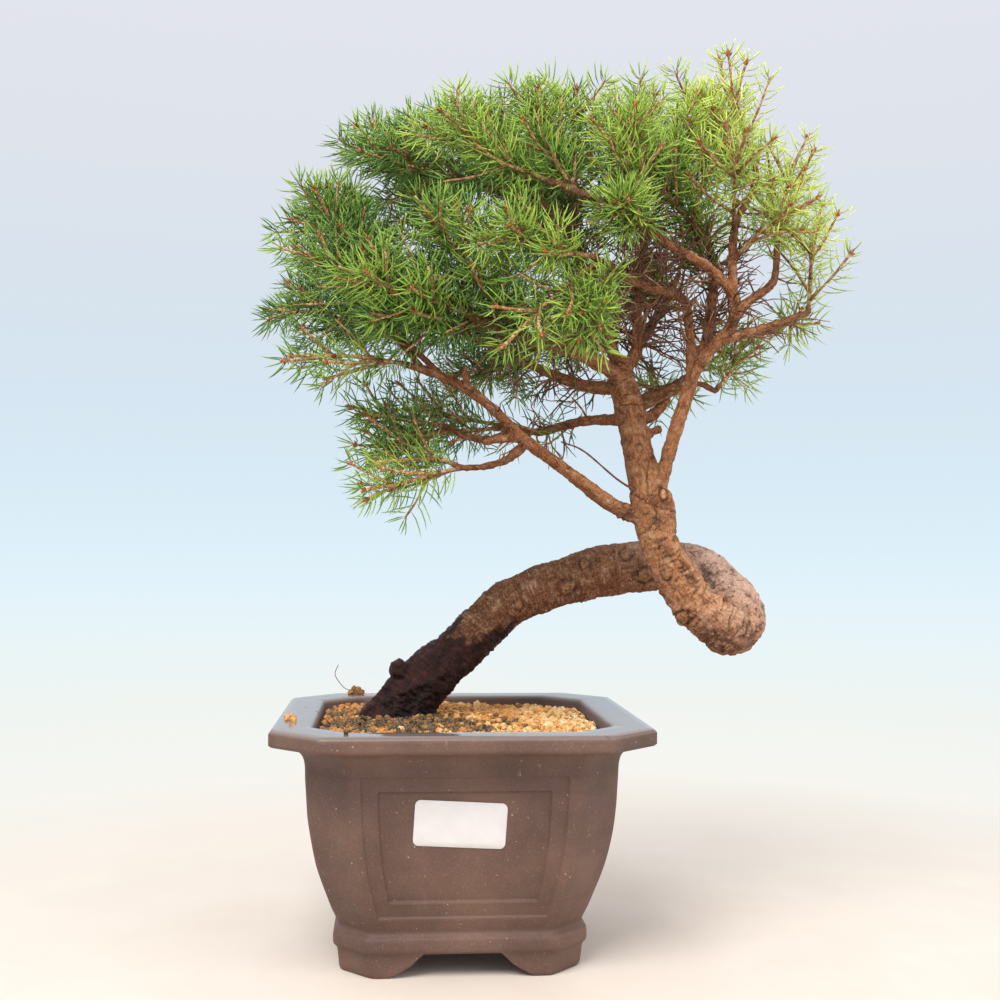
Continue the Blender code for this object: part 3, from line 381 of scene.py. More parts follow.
# Granules.
GRANULE_PITCH = 2.3
GRANULE_HALF_WIDTH = 63.6
GRANULE_SIZE = (1.0, 1.75)
# Factors on the size, and how common each is.
GRANULE_GRADES = (0.65, 1.0, 1.4)
GRANULE_SHARES = (0.35, 0.5, 0.15)
GRANULE_SEED = 7
DARK_SOIL_MIDDLE = (-20.0, -22.0)
# Granules that lie on the rim: place, size and tint.
STRAY_GRANULES = (
    (-78.4, -26.0, 109.9, 1.5, 0.60), (-80.8, -19.5, 109.8, 1.3, 0.55), (-76.4, -31.5, 109.9, 1.6, 0.62),
    (-79.6, -23.0, 109.8, 1.1, 0.70), (-77.0, -22.5, 109.8, 1.2, 0.50), (-79.8, -29.5, 109.8, 1.2, 0.66),
    (-77.8, -28.8, 111.4, 1.2, 0.58), (-51.1, -74.6, 109.8, 1.6, 0.04), (-54.0, 78.0, 110.2, 2.2, 0.28),
    (-51.2, 78.5, 110.6, 2.7, 0.22), (-48.4, 78.0, 110.2, 2.1, 0.3), (-52.4, 78.2, 111.8, 2.2, 0.2),
    (-49.8, 78.0, 111.7, 2.0, 0.32),
)

# Camera: place and view from the photograph's perspective.
CAMERA_PLACE = (-31.9, -619.5, 186.5)
CAMERA_YAW = -0.083
CAMERA_PITCH = 0.0408
CAMERA_ROLL = 0.007
CAMERA_LENS = 45.86
CAMERA_SENSOR = 36.0

# Lights: place, diameter, power and colour. Both look at the middle of the tree.
LIGHT_TARGET = (30.0, 0.0, 240.0)
LIGHTS = {
    "key": ((-500.0, -900.0, 1300.0), 900.0, 23.0, (1.0, 0.98, 0.94)),
    "fill": ((900.0, -700.0, 700.0), 900.0, 5.0, (1.0, 0.99, 0.97)),
}
FLOOR_REACH = 4000.0

# Colours are red, green and blue from 0 to 255. Backdrop: the upward share of a direction, and the colour.
BACKDROP_COLORS = (
    (-0.04, (229, 244, 251)), (0.0, (222, 240, 249)), (0.05, (217, 235, 246)), (0.118, (214, 230, 242)),
    (0.195, (216, 227, 237)), (0.3, (223, 227, 236)), (0.4, (226, 229, 238)), (0.75, (244, 244, 247)),
)
# Floor: nearness to the object, and the colour there.
STAGE_TONES = (
    (0.175, (235, 245, 246)), (0.32, (241, 245, 241)), (0.54, (246, 246, 241)), (0.93, (249, 245, 237)),
)


def unit(vector):
    return vector / np.linalg.norm(vector)


def line_length(points):
    return float(sum(np.linalg.norm(b - a) for a, b in zip(points[:-1], points[1:])))


def along(points, distance):
    """The point of a line that lies a distance from its start."""
    for a, b in zip(points[:-1], points[1:]):
        step = np.linalg.norm(b - a)
        if distance <= step:
            return a + (b - a) * (distance / step)
        distance -= step
    return points[-1]


def heading(points, distance, reach=3.0):
    return unit(along(points, distance + reach) - along(points, max(0.0, distance - reach)))


def cut_line(points, start, end, pieces):
    """Evenly spaced points of a line between two distances from its start."""
    return [along(points, start + (end - start) * i / pieces) for i in range(pieces + 1)]


def taper(start, end, count):
    return [start + (end - start) * i / (count - 1) for i in range(count)]


def bezier(a, b, c, d, count=CURVE_POINTS):
    line = []
    for i in range(count + 1):
        t = i / count
        u = 1.0 - t
        line.append(u ** 3 * a + 3 * u * u * t * b + 3 * u * t * t * c + t ** 3 * d)
    return line


class Rods:
    """Every round rod placed so far, for keeping new ones clear of those of other owners."""

    def __init__(self):
        self.rows = []
        self.owners = []

    def add(self, points, radii, owner):
        for i in range(len(points) - 1):
            self.rows.append((*points[i], *points[i + 1], max(radii[i], radii[i + 1])))
            self.owners.append(owner)

    def gap(self, a, b, radius, owner):
        rows = np.array(self.rows)[np.array(self.owners) != owner]
        if not len(rows):
            return math.inf
        start = rows[:, :3]
        run = rows[:, 3:6] - start
        own = b - a
        offset = a - start
        own_square = own @ own
        run_square = np.maximum((run * run).sum(1), TINY)
        cross = run @ own
        own_off = offset @ own
        run_off = (run * offset).sum(1)
        spread = np.maximum(own_square * run_square - cross * cross, TINY)
        s = np.clip((cross * run_off - own_off * run_square) / spread, 0.0, 1.0)
        t = np.clip((cross * s + run_off) / run_square, 0.0, 1.0)
        s = np.clip((cross * t - own_off) / own_square, 0.0, 1.0)
        apart = a + s[:, None] * own - start - t[:, None] * run
        distance = np.sqrt((apart * apart).sum(1))
        return float((distance - rows[:, 6]).min() - radius)

    def line_gap(self, points, radii, owner):
        return min(self.gap(points[i], points[i + 1], max(radii[i], radii[i + 1]), owner)
                   for i in range(len(points) - 1))


def crown_tip(direction):
    """The point of the crown's outline that lies in a direction from its middle."""
    angle = math.degrees(math.atan2(direction[2], direction[0])) % 360.0
    reach = np.interp(angle, *zip(*CROWN_REACH))
    half_sizes = np.array((reach, CROWN_HALF_DEPTH, reach))
    return CROWN_MIDDLE + half_sizes * direction


def in_open_window(direction):
    """The bare hollow where the forks show, low in front and on the right, and the open underside."""
    angle = math.degrees(math.atan2(direction[2], direction[0])) % 360.0
    if direction[1] < -0.1 and (angle > 215.0 or angle < 12.0):
        return True
    return direction[2] < -0.5 and not 190.0 < angle < 238.0


def fill_tips(tips):
    """Tips spread evenly over the rest of the crown, at least one spacing from those there are."""
    found = list(tips)
    for index in range(FILL_DIRECTIONS):
        height = 1.0 - 2.0 * (index + 0.5) / FILL_DIRECTIONS
        turn = index * GOLDEN_TURN
        flat = math.sqrt(1.0 - height * height)
        direction = np.array((flat * math.cos(turn), flat * math.sin(turn), height))
        if in_open_window(direction):
            continue
        tip = crown_tip(direction)
        if min(np.linalg.norm(tip - other) for other in found) >= TIP_SPACING:
            found.append(tip)
    return found[len(tips):]


def bough_line(name):
    """Points and radii of a bough."""
    route, thick, thin = BOUGHS[name][:3]
    points = [np.array(point, float) for point in route]
    total = line_length(points)
    radii = [thick + (thin - thick) * line_length(points[:i + 1]) / total for i in range(len(points))]
    return points, radii


def attach_spots():
    """Places on the boughs where a side limb may grow: bough, point, heading and bough radius."""
    spots = []
    for name in BOUGHS:
        points, radii = bough_line(name)
        total = line_length(points)
        count = max(2, int(total / SPOT_SPACING))
        for share in np.linspace(*LIMB_STRETCH, count):
            radius = radii[0] + (radii[-1] - radii[0]) * share
            spots.append((name, along(points, total * share), heading(points, total * share, 4.0), radius))
    return spots


def pick_foot(tip, bough, spots, used):
    """The spot that reaches a tip with a short limb, a natural forward angle and room round it."""
    best_cost = math.inf
    best = None
    outward = unit(tip - CROWN_MIDDLE)
    for name, point, ahead, radius in spots:
        if bough is not None and name != bough:
            continue
        reach = tip - point
        length = np.linalg.norm(reach)
        forward = float(unit(reach) @ ahead)
        crowd = sum(1 for other in used if np.linalg.norm(other - point) < CROWD_REACH)
        cost = length + CROWD_COST * crowd
        cost += SWEPT_COST * max(0.0, FORWARD_WANTED - forward)
        cost += INWARD_COST * max(0.0, OUTWARD_WANTED - float(unit(reach) @ outward))
        cost += SHORT_COST * max(0.0, LENGTH_WANTED - length)
        if cost < best_cost:
            best_cost = cost
            best = (point, ahead, radius)
    return best


def limb_curve(foot, ahead, tip, swing):
    """A limb leaves its bough forward of square, then turns outwards to its tip."""
    reach = tip - foot
    length = np.linalg.norm(reach)
    leave = unit(0.45 * ahead + 0.9 * unit(reach) + 0.25 * swing)
    arrive = unit(0.75 * unit(reach) + 0.5 * unit(tip - CROWN_MIDDLE))
    return bezier(foot, foot + leave * length * 0.34, tip - arrive * length * 0.3, tip)


def limb_goals():
    """Where every limb starts and ends: the boughs' own ends first, then the side limbs."""
    goals = []
    for name, row in BOUGHS.items():
        points = bough_line(name)[0]
        goals.append((points[-1], unit(points[-1] - points[-2]), row[2], np.array(row[3], float), name))
    sides = [(np.array(tip, float), bough) for tip, bough in SIDE_LIMBS]
    tips = [goal[3] for goal in goals] + [side[0] for side in sides]
    sides += [(tip, None) for tip in fill_tips(tips)]
    spots = attach_spots()
    used = []
    for tip, bough in sides:
        foot, ahead, radius = pick_foot(tip, bough, spots, used)
        used.append(foot)
        goals.append((foot, ahead, radius, tip, None))
    return goals


def try_limb(goal, rng, slack):
    """One limb: its wood, which stays on the tree, and beyond a small gap the axis of its spray."""
    foot, ahead, radius, tip, bough = goal
    aim = tip + np.array([rng.uniform(-slack, slack) for axis in range(3)])
    swing = np.array([rng.uniform(-1.0, 1.0) for axis in range(3)])
    curve = limb_curve(foot, ahead, aim, swing)
    total = line_length(curve)
    start = max(BOUGH_END_WOOD if bough else radius + SPRAY_STANDOFF, total - SPRAY_LENGTH)
    wood = cut_line(curve, 0.0, start, max(1, round(start / WOOD_STEP)))
    thick = radius if bough else min(radius * LIMB_SHARE, LIMB_RADIUS + LIMB_RADIUS_GAIN * total)
    axis = cut_line(curve, start + TOUCH_GAP, total, 3)
    return {"wood": wood, "wood_radii": taper(max(thick, SPRAY_FOOT_RADIUS), SPRAY_FOOT_RADIUS, len(wood)),
            "axis": axis, "axis_radii": taper(SPRAY_FOOT_RADIUS, SHOOT_TIP_RADIUS, len(axis))}


def grow_limbs(rods):
    """Every limb, re-aimed a little until it is clear of what stands already."""
    limbs = []
    for index, goal in enumerate(limb_goals()):
        rng = random.Random(LIMB_SEED + index)
        owner = "spray_%02d" % (index + 1)
        bough = goal[4]
        first = 1 if bough else 0
        best_gap = -math.inf
        for attempt in range(LIMB_TRIES):
            limb = try_limb(goal, rng, AIM_SLACK * attempt)
            gap = min(rods.line_gap(limb["axis"][first:], limb["axis_radii"][first:], owner),
                      rods.line_gap(limb["wood"], limb["wood_radii"], "tree"))
            if gap > best_gap:
                best_gap = gap
                best = limb
            if gap > CLEARANCE:
                break
        rods.add(best["wood"], best["wood_radii"], "tree")
        rods.add(best["axis"], best["axis_radii"], owner)
        limbs.append({**best, "name": owner, "bough": bough})
    return limbs


def try_lateral(axis, place, share, turn, rng, attempt):
    """One side shoot: it leaves the axis forward at about 45 degrees."""
    total = line_length(axis)
    foot = along(axis, total * place)
    ahead = heading(axis, total * place)
    side = unit(np.cross(ahead, NEARLY_UP))
    rise = np.cross(side, ahead)
    angle = math.radians(turn + rng.uniform(-LATERAL_TURN, LATERAL_TURN) * (1.0 + TURN_SLACK * attempt))
    lean = math.radians(rng.uniform(*LATERAL_LEAN))
    run = total * share * rng.uniform(*LATERAL_LENGTH) * TRY_SHORTENING ** attempt
    out = side * math.cos(angle) + rise * math.sin(angle)
    way = unit(ahead * math.cos(lean) + out * math.sin(lean))
    return [foot, foot + unit(way + 0.15 * ahead) * run]


def grow_laterals(limbs, rods):
    """The side shoots of every spray, each left out if it finds no room."""
    for index, limb in enumerate(limbs):
        rng = random.Random(LATERAL_SEED + index)
        limb["laterals"] = []
        for place, share, turn in LATERALS:
            for attempt in range(LATERAL_TRIES):
                line = try_lateral(limb["axis"], place, share, turn, rng, attempt)
                if rods.line_gap(line, LATERAL_RADII, limb["name"]) > CLEARANCE:
                    rods.add(line, LATERAL_RADII, limb["name"])
                    limb["laterals"].append(line)
                    break


class Shape:
    """Points, faces, material numbers and named point values, gathered for one mesh."""

    def __init__(self, *value_names):
        self.points = []
        self.faces = []
        self.slots = []
        self.values = {name: [] for name in value_names}
        self.count = 0

    def add(self, points, faces, slot=0, **values):
        points = np.asarray(points, float).reshape(-1, 3)
        self.points.append(points)
        for group in faces:
            group = np.asarray(group) + self.count
            self.faces += group.tolist()
            self.slots += [slot] * len(group)
        for name, store in self.values.items():
            store.append(np.broadcast_to(values.get(name, 0.0), len(points)).astype(np.float32))
        self.count += len(points)

    def mesh(self, name, materials, smooth):
        mesh = bpy.data.meshes.new(name)
        mesh.from_pydata(place(np.vstack(self.points)), [], self.faces)
        for value_name, store in self.values.items():
            layer = mesh.attributes.new(value_name, "FLOAT", "POINT")
            layer.data.foreach_set("value", np.concatenate(store))
        for material in materials:
            mesh.materials.append(material)
        mesh.polygons.foreach_set("material_index", self.slots)
        mesh.polygons.foreach_set("use_smooth", [smooth] * len(mesh.polygons))
        mesh.update()
        return mesh

    def add_stack(self, rings):
        """A body of rings of points with a flat face at each end, as a shape's first part."""
        count = len(rings[0])
        last = (len(rings) - 1) * count
        self.add(np.vstack(rings), [ring_quads(len(rings), count)])
        self.faces += [list(range(last, last + count)), list(range(count - 1, -1, -1))]
        self.slots += [0, 0]

    def piece(self, name, materials, replaced=(), smooth=True):
        item = bpy.data.objects.new(name, self.mesh(name, materials, smooth))
        bpy.context.scene.collection.objects.link(item)
        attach(item, "root")
        if replaced:
            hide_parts(*replaced)


def place(points):
    return np.asarray(points, float) * MM + POT_PLACE


def smoothstep(low, high, value):
    share = np.clip((np.asarray(value, float) - low) / (high - low), 0.0, 1.0)
    return share * share * (3.0 - 2.0 * share)


def units(vectors):
    return vectors / np.maximum(np.linalg.norm(vectors, axis=-1, keepdims=True), 1e-12)


def smooth_rows(rows, step):
    """Rows on a smooth curve through rows of numbers, the first three a point, about a step apart."""
    rows = np.array(rows, float)
    ends = np.vstack((2 * rows[0] - rows[1], rows, 2 * rows[-1] - rows[-2]))
    found = []
    for a, b, c, d in zip(ends[:-3], ends[1:-2], ends[2:-1], ends[3:]):
        pieces = max(1, round(float(np.linalg.norm(c[:3] - b[:3])) / step))
        for t in np.arange(pieces) / pieces:
            square = t * t * (2 * a - 5 * b + 4 * c - d)
            cube = t * t * t * (3 * b - a - 3 * c + d)
            found.append(0.5 * (2 * b + t * (c - a) + square + cube))
    found.append(rows[-1])
    return np.array(found)


def route_rows(route, radii):
    """Rows of point and radius on a smooth curve along a route."""
    return smooth_rows([(*point, radius) for point, radius in zip(route, radii)], BARK_STEP)


def ring_frames(points):
    """Headings along a line, and two directions square to each that don't twist."""
    ways = units(np.gradient(points, axis=0))
    start = UP if abs(ways[0][2]) < 0.9 else np.array((1.0, 0.0, 0.0))
    across = start - ways[0] * float(start @ ways[0])
    acrosses = []
    for way in ways:
        across = unit(across - way * float(across @ way))
        acrosses.append(across)
    acrosses = np.array(acrosses)
    return ways, acrosses, np.cross(ways, acrosses)


def ring_quads(rings, sides, closed=False):
    """Faces that join each ring of points to the next, and the last to the first if closed."""
    k = np.arange(sides)
    following = (k + 1) % sides
    starts = np.arange(rings if closed else rings - 1)[:, None] * sides
    above = (starts + sides) % (rings * sides)
    return np.stack((starts + k, starts + following, above + following, above + k), -1).reshape(-1, 4)


def sweep(points, radii, sides):
    """Points and faces of a closed tube. Radii hold one number a ring, or one for each point of a ring."""
    across, over = ring_frames(points)[1:]
    angles = (2.0 * math.pi * np.arange(sides) / sides)[None, :, None]
    outward = across[:, None] * np.cos(angles) + over[:, None] * np.sin(angles)
    rings = points[:, None] + outward * np.asarray(radii).reshape(len(points), -1, 1)
    verts = np.vstack((rings.reshape(-1, 3), points[:1], points[-1:]))
    k = np.arange(sides)
    following = (k + 1) % sides
    last = (len(points) - 1) * sides
    foot = np.stack((following, k, np.full(sides, last + sides)), -1)
    tip = np.stack((last + k, last + following, np.full(sides, last + sides + 1)), -1)
    return verts, [ring_quads(len(points), sides), np.vstack((foot, tip))]


def distances_along(points):
    return np.concatenate(([0.0], np.cumsum(np.linalg.norm(np.diff(points, axis=0), axis=1))))


# Materials. Each is built from noise in the object's own space, and point values for what varies by place.


# Where a colour mix node keeps its colour sockets.
MIX_SHARE = 0
MIX_A = 6
MIX_B = 7
MIX_RESULT = 2
# Colours along a value from 0 to 1: of needles by new growth and painted shade, of bark from the foot to the
# crown, of wet bark by its cross marks, of granules by tint, and of buds.
NEEDLE_TONES = ((0.0, (30, 52, 22)), (0.22, (88, 134, 58)), (0.48, (154, 182, 70)), (0.75, (200, 214, 96)),
                (1.0, (232, 236, 140)))
BARK_TONES = ((0.0, (92, 60, 46)), (0.2, (112, 70, 47)), (0.34, (142, 96, 68)), (0.45, (214, 178, 160)),
              (0.52, (212, 166, 140)), (0.6, (196, 136, 94)), (0.68, (186, 126, 84)), (0.78, (168, 106, 66)),
              (0.9, (158, 98, 60)), (1.0, (150, 92, 56)))
SOAKED_TONES = ((0.3, (20, 8, 6)), (0.48, (48, 20, 15)), (0.62, (72, 31, 23)), (0.78, (104, 54, 40)))
GRANULE_TONES = ((0.0, (22, 16, 12)), (0.14, (62, 48, 28)), (0.26, (140, 88, 42)), (0.45, (200, 132, 62)),
                 (0.65, (224, 164, 90)), (0.82, (234, 194, 136)), (1.0, (242, 220, 182)))
BUD_TONES = ((0.3, (118, 58, 28)), (0.52, (176, 100, 50)), (0.75, (214, 150, 88)))


class Nodes:
    """A short way to write shader nodes. Sizes and depths are in millimetres."""

    def __init__(self, tree):
        self.tree = tree
        self.places = self.new("ShaderNodeTexCoord").outputs
        self.place = self.places["Object"]

    def new(self, kind, **settings):
        node = self.tree.nodes.new(kind)
        for key, value in settings.items():
            setattr(node, key, value)
        return node

    def put(self, node, sockets):
        """Fills a node's inputs, by name or number, with values or links."""
        for key, value in sockets.items():
            if isinstance(value, bpy.types.NodeSocket):
                self.tree.links.new(value, node.inputs[key])
            else:
                node.inputs[key].default_value = value

    def made(self, kind, output, sockets, **settings):
        """An output of a new node with its inputs filled."""
        node = self.new(kind, **settings)
        self.put(node, sockets)
        return node.outputs[output]

    def value(self, name):
        return self.made("ShaderNodeAttribute", "Fac", {}, attribute_name=name)

    def stretched(self, vector, stretch):
        return self.made("ShaderNodeMapping", "Vector", {"Vector": vector, "Scale": stretch})

    def noise(self, size, detail=4.0, roughness=0.6, stretch=None, vector=None):
        """Noise whose features are about this size."""
        place = vector or self.place
        if stretch:
            place = self.stretched(place, stretch)
        return self.made("ShaderNodeTexNoise", "Fac", {"Vector": place, "Scale": 1.0 / (size * MM),
                                                       "Detail": detail, "Roughness": roughness})

    def cells(self, size, feature="F1", vector=None):
        return self.made("ShaderNodeTexVoronoi", "Distance",
                         {"Vector": vector or self.place, "Scale": 1.0 / (size * MM)}, feature=feature)

    def maths(self, operation, a, b=0.0, clamp=False):
        return self.made("ShaderNodeMath", 0, {0: a, 1: b}, operation=operation, use_clamp=clamp)

    def times(self, a, b, clamp=False):
        return self.maths("MULTIPLY", a, b, clamp)

    def span(self, value, low, high, to_low=0.0, to_high=1.0):
        return self.made("ShaderNodeMapRange", "Result", {"Value": value, "From Min": low, "From Max": high,
                                                          "To Min": to_low, "To Max": to_high})

    def ramp(self, value, *stops):
        node = self.new("ShaderNodeValToRGB")
        self.put(node, {"Fac": value})
        elements = node.color_ramp.elements
        while len(elements) < len(stops):
            elements.new(1.0)
        for element, (position, color) in zip(elements, stops):
            element.position = position
            element.color = linear(color)
        return node.outputs["Color"]

    def tones(self, value, *colors):
        """Colours spread evenly from 0.3 to 0.7, where most of a noise lies."""
        return self.ramp(value, *zip(np.linspace(0.3, 0.7, len(colors)), colors))

    def mix(self, share, a, b):
        a, b = [color if isinstance(color, bpy.types.NodeSocket) else linear(color) for color in (a, b)]
        sockets = {MIX_SHARE: share, MIX_A: a, MIX_B: b}
        return self.made("ShaderNodeMix", MIX_RESULT, sockets, data_type="RGBA")

    def tinted(self, color, value, low, high, share, tint, where=None):
        """A colour with a tint where a value goes from low to high, by a share at most."""
        amount = self.span(value, low, high, 0.0, share)
        return self.mix(self.times(amount, where) if where else amount, color, tint)

    def bump(self, height, depth, strength=1.0, after=None):
        """Bump of a height from 0 to 1 that stands for a depth, on top of another bump if there is one."""
        sockets = {"Height": height, "Distance": depth * MM, "Strength": strength}
        if after is not None:
            sockets["Normal"] = after
        return self.made("ShaderNodeBump", "Normal", sockets)


class Material(Nodes):
    """The nodes of a new material."""

    def __init__(self, name):
        self.material = bpy.data.materials.new(name)
        self.material.use_nodes = True
        super().__init__(self.material.node_tree)
        self.shader = self.tree.nodes["Principled BSDF"]

    def finish(self, color, roughness, normal, gloss=None):
        self.put(self.shader, {"Base Color": color, "Roughness": roughness, "Normal": normal})
        if gloss is not None:
            self.put(self.shader, {"Specular IOR Level": gloss})
        return self.material


def linear(color):
    """Linear light and full opacity, from a colour written as the usual 0 to 255."""
    return [((c / 255 + 0.055) / 1.055) ** 2.4 if c > 10 else c / 255 / 12.92 for c in color] + [1.0]


def needle_material():
    nodes = Material("spruce_needle")
    drift = nodes.span(nodes.noise(9.0), 0.3, 0.7, -0.12, 0.12)
    along = nodes.value("along")
    # Needle colour by new growth, lighter towards the crown's top and tips, and by painted shade, darker
    # deep inside the crown and low down.
    color = nodes.ramp(nodes.maths("ADD", nodes.value("fresh"), drift, True), *NEEDLE_TONES)
    # Darker towards each needle's root, where it meets the shoot: painted shade.
    color = nodes.mix(nodes.span(along, 0.0, 0.45, 0.6, 0.0), color, (58, 70, 24))
    color = nodes.tinted(color, along, 0.75, 1.0, 0.3, (212, 214, 112))
    color = nodes.tinted(color, nodes.noise(1.1, 2.0), 0.45, 0.75, 0.3, (176, 196, 84))
    roughness = nodes.span(nodes.noise(2.5, 2.0), 0.3, 0.7, 0.5, 0.62)
    return nodes.finish(color, roughness, nodes.bump(nodes.noise(0.5, 2.0), 0.05), 0.35)


def twig_material():
    """Tan twigs with brown scars and the dark pegs of fallen needles."""
    nodes = Material("spruce_twig")
    tan = nodes.tones(nodes.noise(3.0), (176, 124, 72), (212, 168, 108), (232, 200, 148))
    brown = nodes.tones(nodes.noise(1.4), (84, 44, 24), (130, 78, 42))
    pegs = nodes.cells(1.5)
    color = nodes.tinted(nodes.mix(nodes.value("scar"), tan, brown), pegs, 0.35, 0.65, 0.8, (118, 68, 38))
    return nodes.finish(color, 0.72, nodes.bump(pegs, 0.35))


def bud_material():
    nodes = Material("spruce_bud")
    color = nodes.ramp(nodes.noise(1.2), *BUD_TONES)
    return nodes.finish(color, 0.55, nodes.bump(nodes.cells(0.7), 0.3))


def bark_material():
    """Bark that goes from the wet dark foot to the pink-tan loop and the orange-brown boughs, with painted
    shade on its undersides and in its cracks and grooves.
    """
    nodes = Material("spruce_bark")
    places = {axis: nodes.value(name) for axis, name in zip("XYZ", ("along", "across", "over"))}
    flow = nodes.made("ShaderNodeCombineXYZ", "Vector", places)
    crossing = nodes.noise(1.3, 4.0, 0.7, (1.0, 0.22, 0.22), flow)
    lengthwise = nodes.noise(1.5, 5.0, 0.72, (0.25, 1.0, 1.0), flow)
    patches = nodes.noise(6.0, 6.0, 0.7)
    fine = nodes.noise(0.9, 5.0, 0.75)
    scales = nodes.cells(2.7, "DISTANCE_TO_EDGE", nodes.stretched(flow, (0.5, 1.0, 1.0)))
    rise = nodes.value("rise")
    hollow = nodes.value("hollow")
    wet = nodes.value("wet")
    loop = nodes.span(rise, 0.62, 0.72, 1.0, 0.15)
    crown = nodes.maths("SUBTRACT", 1.15, loop)
    stage = nodes.maths("ADD", rise, nodes.span(nodes.noise(14.0), 0.3, 0.7, -0.03, 0.03), True)
    # Bark that faces down is mixed towards a darker orange-brown: painted shade on the undersides.
    color = nodes.mix(nodes.times(nodes.value("lower"), 0.65), nodes.ramp(stage, *BARK_TONES), (128, 68, 38))
    for mark in (
            (patches, 0.54, 0.66, 0.4, (220, 184, 152)),
            (patches, 0.47, 0.36, 0.55, (116, 66, 40)),
            (fine, 0.54, 0.66, 0.45, (238, 198, 150)),
            (fine, 0.46, 0.34, 0.5, (110, 62, 38)),
            (crossing, 0.55, 0.68, 0.45, (220, 190, 164), loop),
            (crossing, 0.46, 0.32, 0.7, (74, 42, 30), loop),
            (lengthwise, 0.55, 0.66, 0.6, (206, 164, 126), crown),
            (lengthwise, 0.45, 0.33, 0.7, (78, 44, 30))):
        color = nodes.tinted(color, *mark)
    split = nodes.times(nodes.span(scales, 0.09, 0.01), nodes.span(patches, 0.5, 0.42, 0.0, 0.6))
    color = nodes.mix(split, color, (62, 34, 24))
    color = nodes.mix(nodes.times(nodes.value("crest"), 0.75), color, (184, 134, 90))
    # Cracks, knot grooves, the groove round the cut and the troughs of the folds are painted darker as
    # shade; the rough spots are darkened too.
    color = nodes.mix(nodes.times(hollow, 0.85), color, (54, 30, 21))
    wood = nodes.tones(nodes.noise(1.3, 4.0), (150, 98, 60), (200, 146, 98), (222, 178, 132))
    color = nodes.mix(nodes.value("cut"), color, wood)
    soaked = nodes.ramp(crossing, *SOAKED_TONES)
    soaked = nodes.tinted(soaked, patches, 0.5, 0.36, 0.8, (14, 7, 6))
    # On the wet bark the same hollows go nearly black: painted shade.
    soaked = nodes.mix(nodes.times(hollow, 0.9), soaked, (8, 5, 4))
    normal = nodes.bump(crossing, 0.9, 0.8, nodes.bump(lengthwise, 0.8, 0.8))
    normal = nodes.bump(nodes.span(scales, 0.0, 0.12), 0.35, 0.7, nodes.bump(fine, 0.5, 1.0, normal))
    return nodes.finish(nodes.mix(wet, color, soaked), nodes.span(wet, 0.0, 1.0, 0.88, 0.52), normal, 0.25)


def dead_twig_material():
    nodes = Material("dead_twig")
    pale = nodes.tones(nodes.noise(4.0, 5.0), (104, 64, 42), (150, 104, 72), (192, 152, 116))
    dark = nodes.tones(nodes.noise(2.0, 4.0), (48, 26, 18), (100, 56, 36))
    color = nodes.mix(nodes.value("shade"), pale, dark)
    return nodes.finish(color, 0.85, nodes.bump(nodes.noise(0.7), 0.25))


def clay_material():
    """Unglazed brown clay with fine sand, pale specks and runs of lime, glossy only where the rim is wet,
    with painted shade in its grooves and inside, and a painted sheen on the wet rim.
    """
    nodes = Material("fired_clay")
    broad = nodes.noise(30.0, 3.0)
    sand = nodes.noise(0.9, 3.0, 0.7)
    color = nodes.tones(broad, (85, 61, 51), (98, 71, 60), (111, 82, 68))
    color = nodes.tinted(color, sand, 0.56, 0.7, 0.3, (160, 128, 110))
    color = nodes.tinted(color, sand, 0.44, 0.3, 0.35, (84, 60, 52))
    for pitch, size in ((7.5, 0.055), (4.6, 0.06)):
        color = nodes.tinted(color, nodes.cells(pitch), size, size * 0.6, 0.6, (206, 184, 150))
    streaks = nodes.span(nodes.noise(2.6, 3.0, 0.6, (1.0, 1.0, 0.09)), 0.66, 0.74)
    runs = nodes.times(streaks, nodes.span(nodes.noise(24.0, 2.0), 0.55, 0.68))
    color = nodes.mix(nodes.times(runs, 0.5), color, (190, 168, 140))
    # Painted shade: darker in the grooves of the foot band and panels and on the inside wall.
    color = nodes.mix(nodes.value("hollow"), color, (84, 60, 50))
    wet_film_and_sheen = nodes.times(nodes.value("wet"), nodes.span(nodes.noise(8.0, 5.0, 0.7), 0.3, 0.36), True)
    # The wet film makes the rim glossy and is painted a lighter grey: a painted reflection on the wet rim.
    color = nodes.mix(wet_film_and_sheen, color, (126, 112, 106))
    grain = nodes.bump(sand, 0.06, nodes.span(wet_film_and_sheen, 0.0, 1.0, 0.8, 0.05))
    normal = nodes.bump(broad, 0.25, 0.6, grain)
    return nodes.finish(color, nodes.span(wet_film_and_sheen, 0.0, 1.0, 0.62, 0.09), normal, 0.5)


def granule_material():
    nodes = Material("akadama")
    grain = nodes.noise(0.7, 4.0, 0.7)
    color = nodes.ramp(nodes.value("tint"), *GRANULE_TONES)
    color = nodes.tinted(color, grain, 0.45, 0.7, 0.4, (236, 204, 150))
    color = nodes.tinted(color, grain, 0.45, 0.28, 0.55, (112, 70, 36))
    return nodes.finish(color, 0.88, nodes.bump(grain, 0.35))


def soil_bed_material():
    nodes = Material("damp_fines")
    color = nodes.tones(nodes.noise(1.6, 5.0), (34, 23, 15), (66, 43, 26), (108, 72, 42))
    return nodes.finish(color, 0.9, nodes.bump(nodes.noise(0.8, 4.0), 0.6))


def paper_material():
    nodes = Material("white_paper")
    color = nodes.tones(nodes.noise(12.0, 3.0), (215, 209, 208), (223, 218, 217))
    return nodes.finish(color, 0.42, nodes.bump(nodes.noise(1.2, 3.0), 0.02))


def net_material():
    nodes = Material("net_plastic")
    color = nodes.tones(nodes.noise(4.0), (22, 22, 22), (40, 40, 40))
    return nodes.finish(color, 0.55, nodes.bump(nodes.noise(0.8), 0.05))


# Bark.


